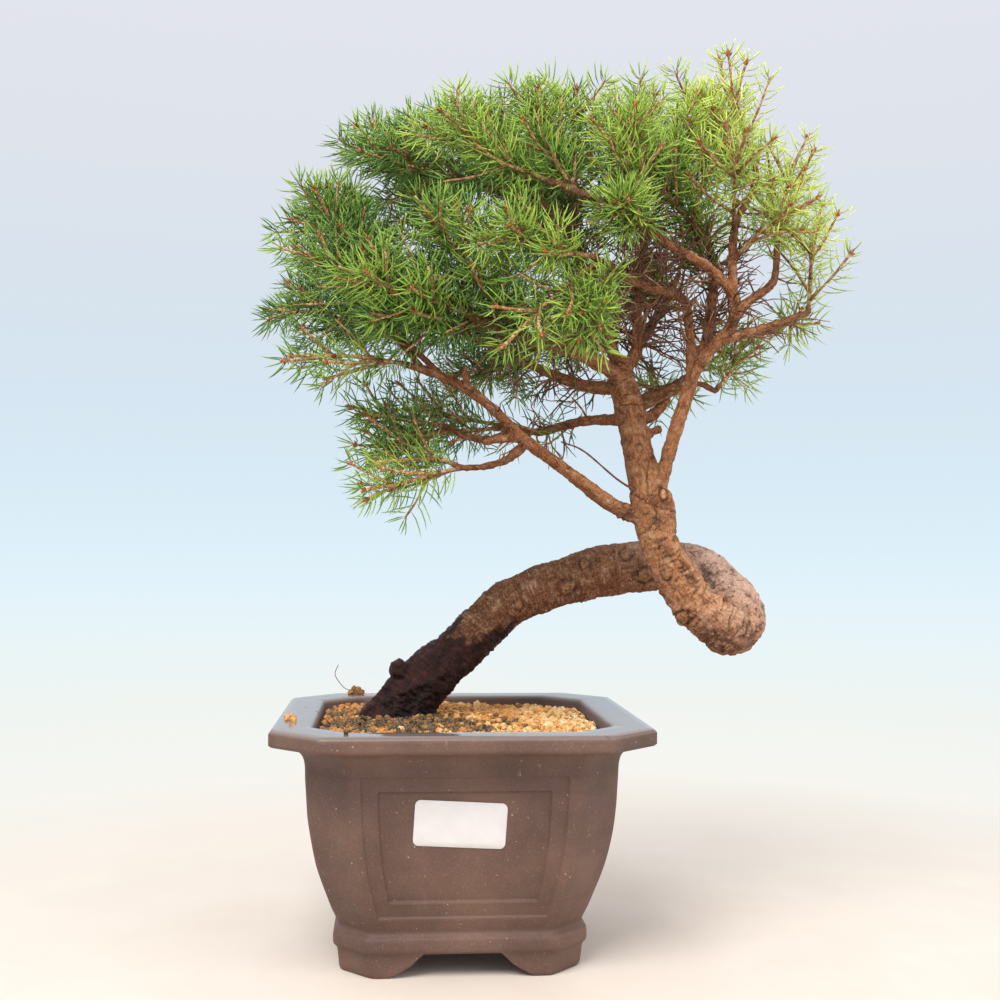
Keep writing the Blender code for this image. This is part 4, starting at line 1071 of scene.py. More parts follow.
def bough_rows(name, number, limbs):
    """A bough with the wood of its last shoot, which swells and shrinks a little, as at old nodes."""
    points, radii = bough_line(name)
    limb = next(limb for limb in limbs if limb["bough"] == name)
    rows = route_rows(points + limb["wood"][1:], radii + limb["wood_radii"][1:])
    swell = [noise.noise(Vector((i * 0.31, number * 7.3, 0.0))) for i in range(len(rows))]
    rows[:, 3] *= 1.0 + BOUGH_WAVES * np.array(swell)
    return rows


def remeshed(shape, voxel, rounds):
    """One smooth skin over everything in a shape: its points, faces and normals, in millimetres."""
    mesh = bpy.data.meshes.new("skin")
    mesh.from_pydata(np.vstack(shape.points), [], shape.faces)
    item = bpy.data.objects.new("skin", mesh)
    bpy.context.scene.collection.objects.link(item)
    step = item.modifiers.new("skin", "REMESH")
    step.mode = "VOXEL"
    step.voxel_size = voxel
    ease = item.modifiers.new("ease", "SMOOTH")
    ease.factor = 0.5
    ease.iterations = rounds
    bpy.context.view_layer.update()
    result = bpy.data.meshes.new_from_object(item.evaluated_get(bpy.context.evaluated_depsgraph_get()))
    found = np.zeros((2, len(result.vertices) * 3))
    result.vertices.foreach_get("co", found[0])
    result.vertex_normals.foreach_get("vector", found[1])
    faces = [tuple(face.vertices) for face in result.polygons]
    bpy.data.objects.remove(item, do_unlink=True)
    bpy.data.meshes.remove(mesh)
    bpy.data.meshes.remove(result)
    return found[0].reshape(-1, 3), faces, found[1].reshape(-1, 3)


class Axes:
    """The middle lines of the wood, for finding where on the tree a point of the bark is."""

    def __init__(self):
        self.rows = []

    def add(self, rows, rise_from, rise_to, start=0.0):
        """Rows of point and radius. rise says how far up the tree, from 0 to 1, the line's ends are."""
        self.rows.append(axis_rows(rows, rise_from, rise_to, start))

    def nearest(self, points):
        rows = np.vstack(self.rows)
        tree = kdtree.KDTree(len(rows))
        for i, row in enumerate(rows):
            tree.insert(row[:3], i)
        tree.balance()
        return rows[[tree.find(point)[1] for point in points]]


def axis_rows(rows, rise_from, rise_to, start):
    """Rows of point, radius, distance along, rise, and two directions across the line."""
    lengths = distances_along(rows[:, :3])
    rise = np.interp(lengths, (0.0, lengths[-1]), (rise_from, rise_to))
    return np.column_stack((rows[:, :4], lengths + start, rise, *ring_frames(rows[:, :3])[1:]))


def bark_flow(points, near):
    """Each point's distance along its wood and its place across it, which the bark's pattern follows."""
    offset = points - near[:, :3]
    across = near[:, 6:9]
    over = near[:, 9:12]
    along, right, out = [(offset * way).sum(1) for way in (np.cross(across, over), across, over)]
    return np.column_stack((near[:, 4] + along, right, out))


def flow_values(flow):
    """The flow as a mesh's point values, in metres."""
    return dict(zip(("along", "across", "over"), flow.T * MM))


def spread(points, middle, reach):
    """Each point's distance from a middle, in reaches."""
    return np.linalg.norm(points - np.array(middle, float), axis=1) / reach


def field(flow, along_size, around_size, seed, octaves=2):
    """Noise whose features have these sizes in millimetres along the wood and round it."""
    places = flow / (along_size, around_size, around_size) + seed
    return np.array([noise.fractal(Vector(place), 1.0, 2.0, octaves) for place in places])


def bark_relief(flow, near, lower):
    """How far the bark stands out at each point, in millimetres, and how much of a crack it is."""
    along = flow[:, 0]
    size = np.clip(near[:, 3] / 12.0, 0.2, 1.0)
    bend = smoothstep(*BEND_START, along) * smoothstep(*BEND_END, along)
    upper = smoothstep(*UPPER_START, along)
    foot = smoothstep(*FOOT_END, along)
    lumps = field(flow, 12.0, 9.0, 3.0)
    crossing = smoothstep(0.24, 0.02, np.abs(field(flow, 3.4, 11.0, 17.0)))
    crossing *= smoothstep(-0.15, 0.3, field(flow, 16.0, 9.0, 31.0))
    crossing *= 0.3 + 0.7 * bend
    flakes = smoothstep(0.2, 0.02, np.abs(field(flow, 8.0, 3.0, 53.0)))
    flakes *= 0.25 + 0.75 * upper
    fine = field(flow, 1.7, 4.0, 47.0)
    rough = 0.2 + 0.3 * size + 0.25 * foot + 0.5 * bend * lower
    height = size * (1.1 * lumps - 1.3 * crossing - 0.5 * flakes) + rough * fine
    return height, np.clip(0.75 * crossing + 0.5 * flakes * size, 0.0, 1.0)


def knots(points):
    """Healed branch scars, each a ringed button in a groove: height, and share of crack and of crest."""
    height, crack, crest = np.zeros((3, len(points)))
    for middle, size in KNOTS:
        plain = spread(points, middle, size)
        close = np.nonzero(plain < 2.8)[0]
        warp = np.array([noise.noise(Vector(points[i]) / 3.2 + Vector(middle)) for i in close])
        away = plain[close] * (1.0 + 0.45 * warp)
        button = smoothstep(0.95, 0.5, away)
        groove = np.exp(-((away - 1.05) / 0.22) ** 2)
        collar = np.exp(-((away - 1.55) / 0.35) ** 2)
        rings = 0.5 + 0.5 * np.cos(2.0 * math.pi * away / 0.4)
        height[close] += button * (0.3 + 0.35 * rings) - 0.9 * groove + 0.6 * collar
        crack[close] += (0.6 + 0.8 * warp) * groove + 0.4 * button * rings
        crest[close] += button * (0.9 - 0.8 * rings)
    return height, crack, crest


def swells(points):
    """Bulges of the trunk, each with its reach and height."""
    height = np.zeros(len(points))
    for middle, reach, rise in SWELLS:
        away = spread(points, middle, reach)
        height += rise * np.exp(-away * away)
    return height


def rough_spots(points):
    """How much of each point lies in a rough dark spot, broken up into crumbs."""
    dark = np.zeros(len(points))
    for middle, reach in ROUGH_SPOTS:
        away = spread(points, middle, reach)
        close = np.nonzero(away < 1.6)[0]
        crumbs = np.array([noise.fractal(Vector(points[i]) / 1.9, 1.0, 2.0, 2) for i in close])
        dark[close] += 1.3 * np.exp(-away[close] ** 2) * smoothstep(0.3, -0.15, crumbs)
    return np.clip(dark, 0.0, 1.0)


def pruning_cut(points):
    """How much of each point lies on the cut's bare wood, and how much in the dark groove round it."""
    offset = points - np.array(CUT_MIDDLE)
    away = np.hypot(offset[:, 0] / CUT_HALF_SIZE[0], offset[:, 2] / CUT_HALF_SIZE[1])
    front = smoothstep(9.0, 5.0, offset[:, 1])
    return front * smoothstep(1.1, 0.9, away), front * np.exp(-((away - 1.6) / 0.5) ** 2)


def root_folds(points, near):
    """Lengthwise folds of the flared foot, from -1 to 1."""
    flare = smoothstep(135.0, 105.0, points[:, 2]) * (near[:, 3] > 9.0)
    turn = np.arctan2(points[:, 1] - near[:, 1], points[:, 0] - near[:, 0])
    fold = np.sin(7.0 * turn + 0.05 * near[:, 4]) + 0.5 * np.sin(13.0 * turn + 0.11 * near[:, 4])
    return flare * fold / 1.5


def build_bark(limbs, bark):
    """The trunk and thick boughs as one skin with relief."""
    shape = Shape()
    axes = Axes()
    trunk = smooth_rows(TRUNK, BARK_STEP)
    shape.add(*sweep(trunk[:, :3], trunk[:, 3], TRUNK_SWEEP_SIDES))
    axes.add(trunk, 0.0, 0.84)
    for route, radii in ROOTS + STUBS[:-1] + FOOT_RIDGES:
        rows = route_rows(route, radii)
        shape.add(*sweep(rows[:, :3], rows[:, 3], BOUGH_SIDES))
    for number, name in enumerate(BOUGHS):
        rows = bough_rows(name, number, limbs)
        thick = rows[rows[:, 3] > THIN_BOUGH]
        if len(thick) > 3:
            shape.add(*sweep(thick[:, :3], thick[:, 3], BOUGH_SIDES))
            rise = axes.nearest(thick[:1, :3])[0, 5]
            axes.add(thick, rise, 0.98, PATTERN_START + PATTERN_STEP * number)
    points, faces, normals = remeshed(shape, BARK_VOXEL, BARK_RELAX)
    near = axes.nearest(points)
    flow = bark_flow(points, near)
    # Share of the bark that faces down: the wet reaches further and the bark is rougher there, and it
    # carries the painted shade of the undersides.
    lower = smoothstep(-0.3, 0.8, -normals[:, 2])
    height, crack = bark_relief(flow, near, lower)
    knot_height, knot_crack, crest = knots(points)
    folds = root_folds(points, near)
    cut, rim = pruning_cut(points)
    spots = rough_spots(points)
    height = (height + knot_height) * (1.0 - cut) + swells(points) + 1.1 * folds - 0.8 * rim - 1.1 * spots
    edge = field(flow, 9.0, 7.0, 71.0)
    limit = WET_REACH + WET_UNDERSIDE_REACH * lower + WET_RAGGEDNESS * edge
    wet = smoothstep(3.5, -3.5, flow[:, 0] - limit)
    # How dark each point is painted: shade in cracks, knot grooves, the groove round the cut and the troughs
    # of the folds, and the darkness of the rough spots.
    hollow = (crack + knot_crack) * (1.0 - cut) + rim + 0.7 * spots + 0.5 * np.clip(-folds, 0.0, 1.0)
    skin = Shape("rise", "wet", "hollow", "crest", "cut", "lower", "along", "across", "over")
    skin.add(points + normals * height[:, None], [], rise=near[:, 5], wet=wet, crest=crest, cut=cut,
             lower=lower, hollow=np.clip(hollow, 0.0, 1.0), **flow_values(flow))
    skin.faces = faces
    skin.slots = [0] * len(faces)
    skin.piece("trunk_bark", [bark], ("tree",))


def build_thin_wood(limbs, bark):
    """The thin ends of the boughs and the wood of every side limb."""
    shape = Shape("rise", "wet", "hollow", "crest", "lower", "along", "across", "over")
    for number, name in enumerate(BOUGHS):
        rows = bough_rows(name, number, limbs)
        thin = np.nonzero(rows[:, 3] <= THIN_BOUGH)[0]
        first = max(0, thin[0] - 3) if len(thin) else len(rows)
        if len(rows) - first > 2:
            add_wood(shape, rows[first:], 8, number)
    for number, limb in enumerate(limbs):
        if limb["bough"] is None:
            add_wood(shape, route_rows(limb["wood"], limb["wood_radii"]), 7, LIMB_WOOD_SEED + number)
    shape.piece("branch_bark", [bark], ("tree",))


def add_wood(shape, rows, sides, seed):
    """A thin bough with the rough pegs that fallen needles leave."""
    rng = np.random.default_rng(seed)
    pegs = 1.0 + 0.10 * rng.standard_normal((len(rows), sides))
    verts, faces = sweep(rows[:, :3], rows[:, 3:4] * pegs, sides)
    near = axis_rows(rows, 0.95, 0.97, PATTERN_START + PATTERN_STEP * seed)
    near = np.vstack((np.repeat(near, sides, axis=0), near[:1], near[-1:]))
    # Where the bark dips between the pegs it is painted darker, as shade in the dips.
    hollow = np.append(np.clip(0.6 - 2.5 * (pegs.ravel() - 0.95), 0.0, 0.5), (0.0, 0.0))
    shape.add(verts, faces, rise=0.95, hollow=hollow, **flow_values(bark_flow(verts, near)))


def crooked(start, way, run, rng):
    """A bare twig's line: it wanders, and droops a little towards its end."""
    pieces = max(3, int(run / 3.2))
    points = [start]
    for step in rng.normal(0.0, 0.17, (pieces, 3)):
        way = unit(way + step - 0.02 * UP)
        points.append(points[-1] + way * (run / pieces))
    return np.array(points)


def add_dead_twig(shape, line, radii, shade, rng):
    radii = np.linspace(*radii, len(line)) * rng.uniform(0.8, 1.25, len(line))
    shape.add(*sweep(line, radii, TWIG_SIDES), shade=shade)


def build_dead_twigs(dead):
    """Bare twigs that died in the shade of the crown, with finer ones on them, and a stray root hair."""
    shape = Shape("shade")
    rng = np.random.default_rng(DEAD_TWIG_SEED)
    rows = route_rows(*STUBS[-1])
    shape.add(*sweep(rows[:, :3], rows[:, 3] * rng.uniform(0.4, 0.55, len(rows)), 7), shade=0.8)
    hair = smooth_rows(ROOT_HAIR, BARK_STEP)
    shape.add(*sweep(hair, np.full(len(hair), ROOT_HAIR_RADIUS), TWIG_SIDES), shade=0.3)
    for name, count, lengths, start in DEAD_TWIGS:
        points = bough_line(name)[0]
        total = line_length(points)
        for _ in range(count):
            distance = total * rng.uniform(start, DEAD_TWIG_END)
            ahead = heading(points, distance)
            out = unit(np.cross(ahead, rng.normal(0.0, 1.0, 3)))
            run = rng.uniform(*lengths)
            shade = rng.uniform(0.2, 1.0)
            line = crooked(along(points, distance), unit(0.5 * ahead + out), run, rng)
            add_dead_twig(shape, line, DEAD_TWIG_RADII, shade, rng)
            for share in rng.uniform(0.35, 0.95, int(run / 8.0)):
                i = int(share * (len(line) - 2))
                step = line[i + 1] - line[i]
                side = unit(np.cross(step, rng.normal(0.0, 1.0, 3)))
                finer = crooked(line[i], unit(unit(step) + side), run * 0.4, rng)
                add_dead_twig(shape, finer, FINE_TWIG_RADII, shade, rng)
    shape.piece("dead_twigs", [dead], ("tree",))


# Foliage.


def bare_wood(limb):
    """The wood behind a spray, and where short shoots stand on it."""
    name = limb["bough"]
    if name is None:
        return limb["wood"], () if limb["airy"] else LIMB_SHOOTS
    points = bough_line(name)[0]
    total = line_length(points)
    if name in LEAFY_BOUGHS:
        return cut_line(points, 0.2 * total, total, 8), BOUGH_SHOOTS
    bare = limb["airy"] or name in BARE_BOUGHS
    return cut_line(points, 0.5 * total, total, 8), () if bare else BOUGH_SHOOTS


def finer_shoots(limb, index):
    """The spray's shoots in order: its axis, its side shoots, and finer side shoots of both."""
    rng = random.Random(EXTRA_SEED + index)
    axis = limb["axis"]
    if axis[-1][0] < SHORT_CORNER[0] and axis[-1][2] < SHORT_CORNER[1]:
        axis = cut_line(axis, 0.0, line_length(axis) - SHORT_CORNER_INSET, 3)
    wood, places = bare_wood(limb)
    wood_end = limb["wood"][-1]
    start = wood_end - unit(wood_end - limb["wood"][-2]) * TWIG_OVERLAP
    shoots = [([start, *axis[1:]], *AXIS_WIDTH)]
    shoots += [(line, *LATERAL_WIDTH) for line in limb["laterals"]]
    extras = [try_lateral(axis, *row, rng, 0) for row in AXIS_EXTRAS]
    extras += [try_lateral(line, *LATERAL_EXTRA, rng, 0) for line in limb["laterals"]]
    if limb["airy"]:
        extras = extras[:AIRY_EXTRAS]
    share = WOOD_SHOOT_LENGTH / line_length(wood)
    extras += [try_lateral(wood, place, share, turn, rng, 0) for place, turn in places]
    for line in extras:
        if (line[-1] > BOX_LOW + BOX_MARGIN).all() and (line[-1] < BOX_HIGH - BOX_MARGIN).all():
            shoots.append((line, *SUB_WIDTH))
    return shoots


def gap_shoots(limbs):
    """Shoots that close the crown's gaps, each from the nearest wood of a limb, by the limb's number."""
    wood = np.array([(*point, index) for index, limb in enumerate(limbs) for point in limb["wood"]])
    shoots = {}
    for tip in GAP_TIPS:
        row = wood[np.argmin(np.linalg.norm(wood[:, :3] - tip, axis=1))]
        shoots.setdefault(int(row[3]), []).append(([row[:3], np.array(tip, float)], *SUB_WIDTH))
    return shoots


def bowed(line, rng):
    """A shoot's line with a slight bow, a point every few millimetres."""
    if len(line) == 2:
        run = line[1] - line[0]
        side = np.array([rng.uniform(-1.0, 1.0), rng.uniform(-1.0, 1.0), rng.uniform(-1.0, 0.4)])
        middle = (line[0] + line[1]) / 2 + unit(side) * float(np.linalg.norm(run)) * SHOOT_BOW
        line = [line[0], middle, line[1]]
    return smooth_rows(line, SHOOT_STEP)


def add_twig(shape, line, thick, thin, rng):
    radii = np.linspace(thick, thin, len(line)) * (1.0 + 0.12 * rng.uniform(-1.0, 1.0, len(line)))
    away = distances_along(line)
    scar = np.maximum(smoothstep(5.0, 2.0, away), 0.6 * rng.random(len(line)) ** 2)
    radii *= 1.0 + 0.35 * smoothstep(4.0, 1.0, away)
    verts, faces = sweep(line, radii, TWIG_SIDES)
    shape.add(verts, faces, TWIG_SLOT, scar=np.append(np.repeat(scar, TWIG_SIDES), (scar[0], scar[-1])))


def add_bud(shape, middle, way, size, rng):
    """A pointed bud of closed scales."""
    line = middle + way * (np.array(BUD_STATIONS) * size)[:, None]
    radii = np.array(BUD_WIDTHS) * size * 0.62 * rng.uniform(0.9, 1.1)
    shape.add(*sweep(line, radii, TWIG_SIDES), BUD_SLOT)


def add_buds(shape, line, rng):
    """A bud at a shoot's tip and two smaller ones beside it."""
    tip = line[-1]
    way = unit(tip - line[-2])
    side = unit(np.cross(way, NEARLY_UP))
    add_bud(shape, tip, way, rng.uniform(1.5, 2.0), rng)
    for turn in rng.uniform(0.0, 2.0 * math.pi) + np.array((0.0, 2.3)):
        out = side * math.cos(turn) + np.cross(side, way) * math.sin(turn)
        add_bud(shape, tip - way * 1.0 + out * 0.9, unit(way + out), rng.uniform(1.1, 1.5), rng)


def add_needles(shape, line, radius, fresh, pitch, rng):
    """Curved needles all round a shoot, and a tuft at its tip."""
    away = distances_along(line)
    total = away[-1]
    body = max(4, int(total / pitch))
    count = body + TUFT_NEEDLES
    share = np.append((np.arange(body) + rng.random(body)) / body, 0.94 + 0.06 * rng.random(TUFT_NEEDLES))
    share = np.maximum(share, min(0.5, 2.5 / total))
    ways, _, over = ring_frames(line)
    root, ahead = [np.stack([np.interp(share * total, away, rows[:, axis]) for axis in range(3)], -1)
                   for rows in (line, ways)]
    ahead = units(ahead)
    turn = GOLDEN_TURN * np.arange(count) + rng.uniform(-0.5, 0.5, count)
    side = units(np.cross(ahead, over[0]))
    out = side * np.cos(turn)[:, None] + np.cross(ahead, side) * np.sin(turn)[:, None]
    lean = np.radians(np.interp(share, NEEDLE_LEAN_PLACES, NEEDLE_LEANS) + rng.normal(0.0, 5.0, count))
    way = units(ahead * np.cos(lean)[:, None] + out * np.sin(lean)[:, None])
    length = NEEDLE_LENGTH * np.interp(share, (0.0, 0.12, 0.8, 1.0), (0.7, 1.0, 1.0, 0.62))
    length *= rng.uniform(0.88, 1.06, count)
    curl = ahead * rng.uniform(0.35, 0.7, count)[:, None] + rng.normal(0.0, 0.05, (count, 3)) + 0.12 * UP
    first = root + out * (radius * 0.5)
    second = first + way * (0.34 * length)[:, None]
    third = second + units(way + 0.5 * curl) * (0.36 * length)[:, None]
    tip = third + units(way + curl) * (0.30 * length)[:, None]
    reach = tip - first
    room = np.where(reach > 0.0, BOX_HIGH - first, first - BOX_LOW) / np.maximum(np.abs(reach), 1e-6)
    shrink = np.clip(room.min(axis=1), 0.05, 1.0)[:, None]
    second, third, tip = [first + (point - first) * shrink for point in (second, third, tip)]
    flat = units(np.cross(way, ahead))
    thin = np.cross(flat, way)
    corners = np.stack((flat, -0.5 * flat + 0.87 * thin, -0.5 * flat - 0.87 * thin), 1)
    rings = [base[:, None] + corners * width for base, width in zip((second, third), NEEDLE_RADII)]
    starts = 8 * np.arange(count)[:, None, None]
    faces = [(starts + NEEDLE_QUADS).reshape(-1, 4), (starts + NEEDLE_ENDS).reshape(-1, 3)]
    tint = np.clip(fresh + rng.normal(0.0, 0.07, count), 0.0, 1.0)
    shape.add(np.concatenate([first[:, None], *rings, tip[:, None]], 1), faces, NEEDLE_SLOT,
              fresh=np.repeat(tint, 8), along=np.tile((0.0, 0.34, 0.34, 0.34, 0.7, 0.7, 0.7, 1.0), count))


def freshness_and_shade(point, rng):
    """Bright yellow-green at the top and right of the crown, deep green low down and inside: the new
    growth's own colour, with painted shade deep inside the crown and low down.
    """
    rise = (point[2] - 250.0) / 175.0
    right = (point[0] - 20.0) / 160.0
    away = np.linalg.norm((point - CROWN_MIDDLE) / (137.0, CROWN_HALF_DEPTH, 105.0))
    fresh = 0.15 + 0.32 * rise + 0.32 * right + 0.8 * (away - 0.8) + rng.normal(0.0, 0.07)
    return float(np.clip(fresh, 0.02, 1.0))


def build_foliage(limbs, materials):
    extra = gap_shoots(limbs)
    for index, limb in enumerate(limbs):
        rng = np.random.default_rng(FOLIAGE_SEED + index)
        plain_rng = random.Random(FOLIAGE_SEED + index)
        tip = limb["axis"][-1]
        limb["airy"] = tip[2] < AIRY_BELOW or tip[0] > AIRY_RIGHT_OF
        pitch = AIRY_NEEDLE_PITCH if limb["airy"] else NEEDLE_PITCH
        shape = Shape("fresh", "along", "scar")
        for number, (line, thick, thin) in enumerate(finer_shoots(limb, index) + extra.get(index, [])):
            line = bowed(line, plain_rng)
            add_twig(shape, line, thick, thin, rng)
            add_needles(shape, line, thin, freshness_and_shade(line[len(line) // 2], rng), pitch, rng)
            if number <= len(limb["laterals"]):
                add_buds(shape, line, rng)
        shape.piece(limb["name"] + "_foliage", materials, (limb["name"],))


# Pot.


def arch(away):
    """Height of the gap under a side, at a distance from the side's middle."""
    widen = np.clip((np.abs(away) - FOOT_GAP_HALF_WIDTH) / FOOT_GAP_FLARE, 0.0, 1.0)
    return FOOT_GAP_HEIGHT * np.arcsin(1.0 - widen) * 2.0 / math.pi


def underside(x, y):
    return np.maximum(arch(x), arch(y))


def pot_columns():
    """Places round a quarter of the pot: across the flat face, as shares of the half width."""
    half = [*np.arange(0.05, 0.5, 0.05), *PLAIN_COLUMNS]
    half += [row[0] + offset for row in PANEL_STEPS for offset in PANEL_EDGE_SHARES]
    half = sorted(half)
    return np.array([-share for share in reversed(half)] + [0.0] + half)


def rounded(before, corner, after, shares):
    """Points of a curve that rounds a corner."""
    return [(1 - t) ** 2 * before + 2 * t * (1 - t) * corner + t * t * after for t in shares]


def pot_ring(half_width, columns):
    """Points round the pot at a half width, with the corners rounded."""
    short = half_width * (1.0 - CANT_SHARE)
    slope = CANT_ROUNDING * math.sqrt(0.5)
    before = np.array((half_width, short - CANT_ROUNDING))
    corner = np.array((half_width, short))
    after = np.array((half_width - slope, short + slope))
    far = after[::-1]
    quarter = [(half_width, -short + CANT_ROUNDING)]
    quarter += [(half_width, share * half_width) for share in columns]
    quarter += [before, *rounded(before, corner, after, (0.25, 0.5, 0.75, 1.0))]
    quarter += [after + (far - after) * t for t in np.linspace(0.0, 1.0, 9)[1:]]
    quarter += rounded(far, corner[::-1], before[::-1], (0.25, 0.5, 0.75))
    quarter = np.array(quarter)
    ring = []
    for angle in np.arange(4) * math.pi / 2.0:
        ring.append(quarter @ ((math.cos(angle), math.sin(angle)), (-math.sin(angle), math.cos(angle))))
    return np.vstack(ring)


def level_ring(half_width, columns, height):
    flat = pot_ring(half_width, columns)
    return np.column_stack((flat, np.full(len(flat), height)))


def wall_curve():
    """The outer wall as smooth rows of height and half width, with rows at the panels' edges."""
    rows = smooth_rows([(*row, 0.0) for row in POT_PROFILE], WALL_STEP)[:, :2]
    rows[:, 0] = np.maximum.accumulate(rows[:, 0])
    rows[:, 1] = np.minimum(rows[:, 1], RIM_HALF_WIDTH)
    edges = [edge + offset for row in PANEL_STEPS for edge in row[1:3] for offset in PANEL_EDGE_HEIGHTS]
    heights = np.array(sorted([*rows[:, 0], *edges]))
    return np.column_stack((heights, np.interp(heights, rows[:, 0], rows[:, 1])))


def wall_at(height, curve):
    return np.interp(height, curve[:, 0], curve[:, 1])


def ridge(value, middle, width):
    """1 at the middle, and falling off to both sides."""
    return np.exp(-((value - middle) / width) ** 2)


def panel_depth(share, height):
    """How deep the stepped panel is at a share of the half width and at a height."""
    depth = 0.0
    last = 0.0
    for edge, bottom, top, full in PANEL_STEPS:
        across = smoothstep(edge + 0.008, edge - 0.008, np.abs(share))
        up = smoothstep(bottom - 0.5, bottom + 0.5, height) * smoothstep(top + 0.5, top - 0.5, height)
        depth = depth + (full - last) * across * up
        last = full
    return depth


def wall_ring(height, half_width, columns, curve):
    """A ring of the outer wall with its panels, raised over the gaps between the feet."""
    flat = pot_ring(half_width, columns)
    quarter = len(flat) // 4
    inward = np.zeros((4, quarter))
    inward[:, 1:len(columns) + 1] = panel_depth(columns, height)
    side = np.repeat(np.arange(4), quarter) * math.pi / 2.0
    normal = np.column_stack((np.cos(side), np.sin(side)))
    heights = np.full(len(flat), height)
    if height < FOOT_BAND_TOP:
        floor = underside(flat[:, 0], flat[:, 1])
        heights = floor + height * (FOOT_BAND_TOP - floor) / FOOT_BAND_TOP
    flat = flat * (wall_at(heights, curve) / half_width)[:, None]
    return np.column_stack((flat - normal * inward.reshape(-1, 1), heights))


def pot_rings(curve):
    """Rings up the wall, over the lip, down inside, through the drain hole and back along the underside."""
    columns = pot_columns()
    rings = [wall_ring(height, half, columns, curve) for height, half in curve]
    rings += [level_ring(half, columns, height) for height, half in POT_LIP + POT_INSIDE[2:]]
    drain = DRAIN_HOLE_RADIUS * units(rings[-1][:, :2])
    rings.append(np.column_stack((drain, np.full(len(drain), FLOOR_TOP))))
    for t in np.linspace(0.0, 1.0, 12)[:-1]:
        flat = drain + (rings[0][:, :2] - drain) * t
        rings.append(np.column_stack((flat, underside(flat[:, 0], flat[:, 1]))))
    return rings


def build_pot(clay):
    curve = wall_curve()
    rings = pot_rings(curve)
    points = np.vstack(rings)
    wobble = np.array([noise.noise(Vector(point) / 23.0) for point in points])
    inner = np.abs(points[:, :2]).max(axis=1) < RIM_HALF_WIDTH - 1.0
    inner &= (points[:, 2] > 3.0) & (points[:, 2] < 108.0)
    points[:, :2] *= 1.0 - 0.004 * np.abs(wobble * inner)[:, None]
    height = points[:, 2]
    # Painted shade in the grooves at the foot band and along the panels' steps.
    groove_shade = ridge(height, 20.4, 1.6) * 0.35 + ridge(height, 11.0, 0.9) * 0.5
    groove_shade = groove_shade + sum(ridge(height, z, 0.9) for row in PANEL_STEPS for z in row[1:3]) * 0.25
    # The inside wall is painted darker too, as shade inside the pot.
    inside = (np.arange(len(points)) >= len(curve) * len(rings[0])) & (height > FLOOR_TOP) & (height < 108.5)
    shape = Shape("wet", "hollow")
    shape.add(points, [ring_quads(len(rings), len(rings[0]), True)], wet=smoothstep(107.6, 108.8, height),
              hollow=np.clip(groove_shade + 0.8 * inside, 0.0, 1.0))
    shape.piece("pot_body", [clay], ("pot",))


def build_label(paper):
    """A blank sticker with round corners that follows the front panel."""
    room = np.array((LABEL_WIDTH, LABEL_HEIGHT)) / 2.0 - LABEL_CORNER
    outline = []
    for turn, side in enumerate(((1, 1), (-1, 1), (-1, -1), (1, -1))):
        for angle in np.linspace(0.0, math.pi / 2.0, 7) + turn * math.pi / 2.0:
            outline.append(room * side + LABEL_CORNER * np.array((math.cos(angle), math.sin(angle))))
    curve = wall_curve()
    rings = []
    for lift, share in LABEL_LIFTS:
        flat = np.array(outline) * share
        x = LABEL_MIDDLE[0] + flat[:, 0] * math.cos(LABEL_TURN) - flat[:, 1] * math.sin(LABEL_TURN)
        z = LABEL_MIDDLE[1] + flat[:, 0] * math.sin(LABEL_TURN) + flat[:, 1] * math.cos(LABEL_TURN)
        rings.append(np.column_stack((x, -(wall_at(z, curve) - PANEL_STEPS[-1][3] + LABEL_GAP + lift), z)))
    shape = Shape()
    shape.add_stack(rings)
    shape.piece("label", [paper], ("blank_label",))


# Soil.


def in_pot(x, y, half_width):
    limit = half_width * (2.0 - CANT_SHARE)
    return (np.abs(x) < half_width) & (np.abs(y) < half_width) & (np.abs(x) + np.abs(y) < limit)


def soil_height(x, y):
    foot = TRUNK[2]
    away = np.hypot(x - foot[0], y - foot[1]) / SOIL_MOUND_REACH
    return SOIL_LEVEL + SOIL_MOUND * np.exp(-away * away)


def build_soil_bed(damp):
    """The bed of damp fines under the loose granules."""
    columns = np.linspace(-0.66, 0.66, 15)
    rings = []
    for height in (FLOOR_TOP + 2.0, 34.0, 60.0, SOIL_LEVEL - 2.0):
        half = np.interp(height, *zip(*reversed(POT_INSIDE)))
        rings.append(level_ring(half - SOIL_WALL_GAP, columns, height))
    edge = rings[-1][:, :2]
    for share in np.linspace(0.98, 0.02, 30):
        flat = edge * share
        rough = np.array([noise.noise(Vector((x, y, 0.0)) / 3.0) for x, y in flat])
        rings.append(np.column_stack((flat, soil_height(flat[:, 0], flat[:, 1]) - 1.2 + 0.6 * rough)))
    shape = Shape()
    shape.add_stack(rings)
    shape.piece("soil_bed", [damp], ("soil",))


def icosahedron():
    """A plain 20-sided ball of radius 1."""
    golden = (1.0 + math.sqrt(5.0)) / 2.0
    points = []
    for a in (-1.0, 1.0):
        for b in (-golden, golden):
            points += [(0.0, a, b), (a, b, 0.0), (b, 0.0, a)]
    points = units(np.array(points))
    faces = []
    for i, j, k in permutations(range(12), 3):
        a, b, c = points[[i, j, k]]
        close = max(np.linalg.norm(a - b), np.linalg.norm(b - c), np.linalg.norm(c - a)) < 1.1
        if i < min(j, k) and close and float(np.cross(b - a, c - a) @ a) > 0.0:
            faces.append((i, j, k))
    return points, np.array(faces)


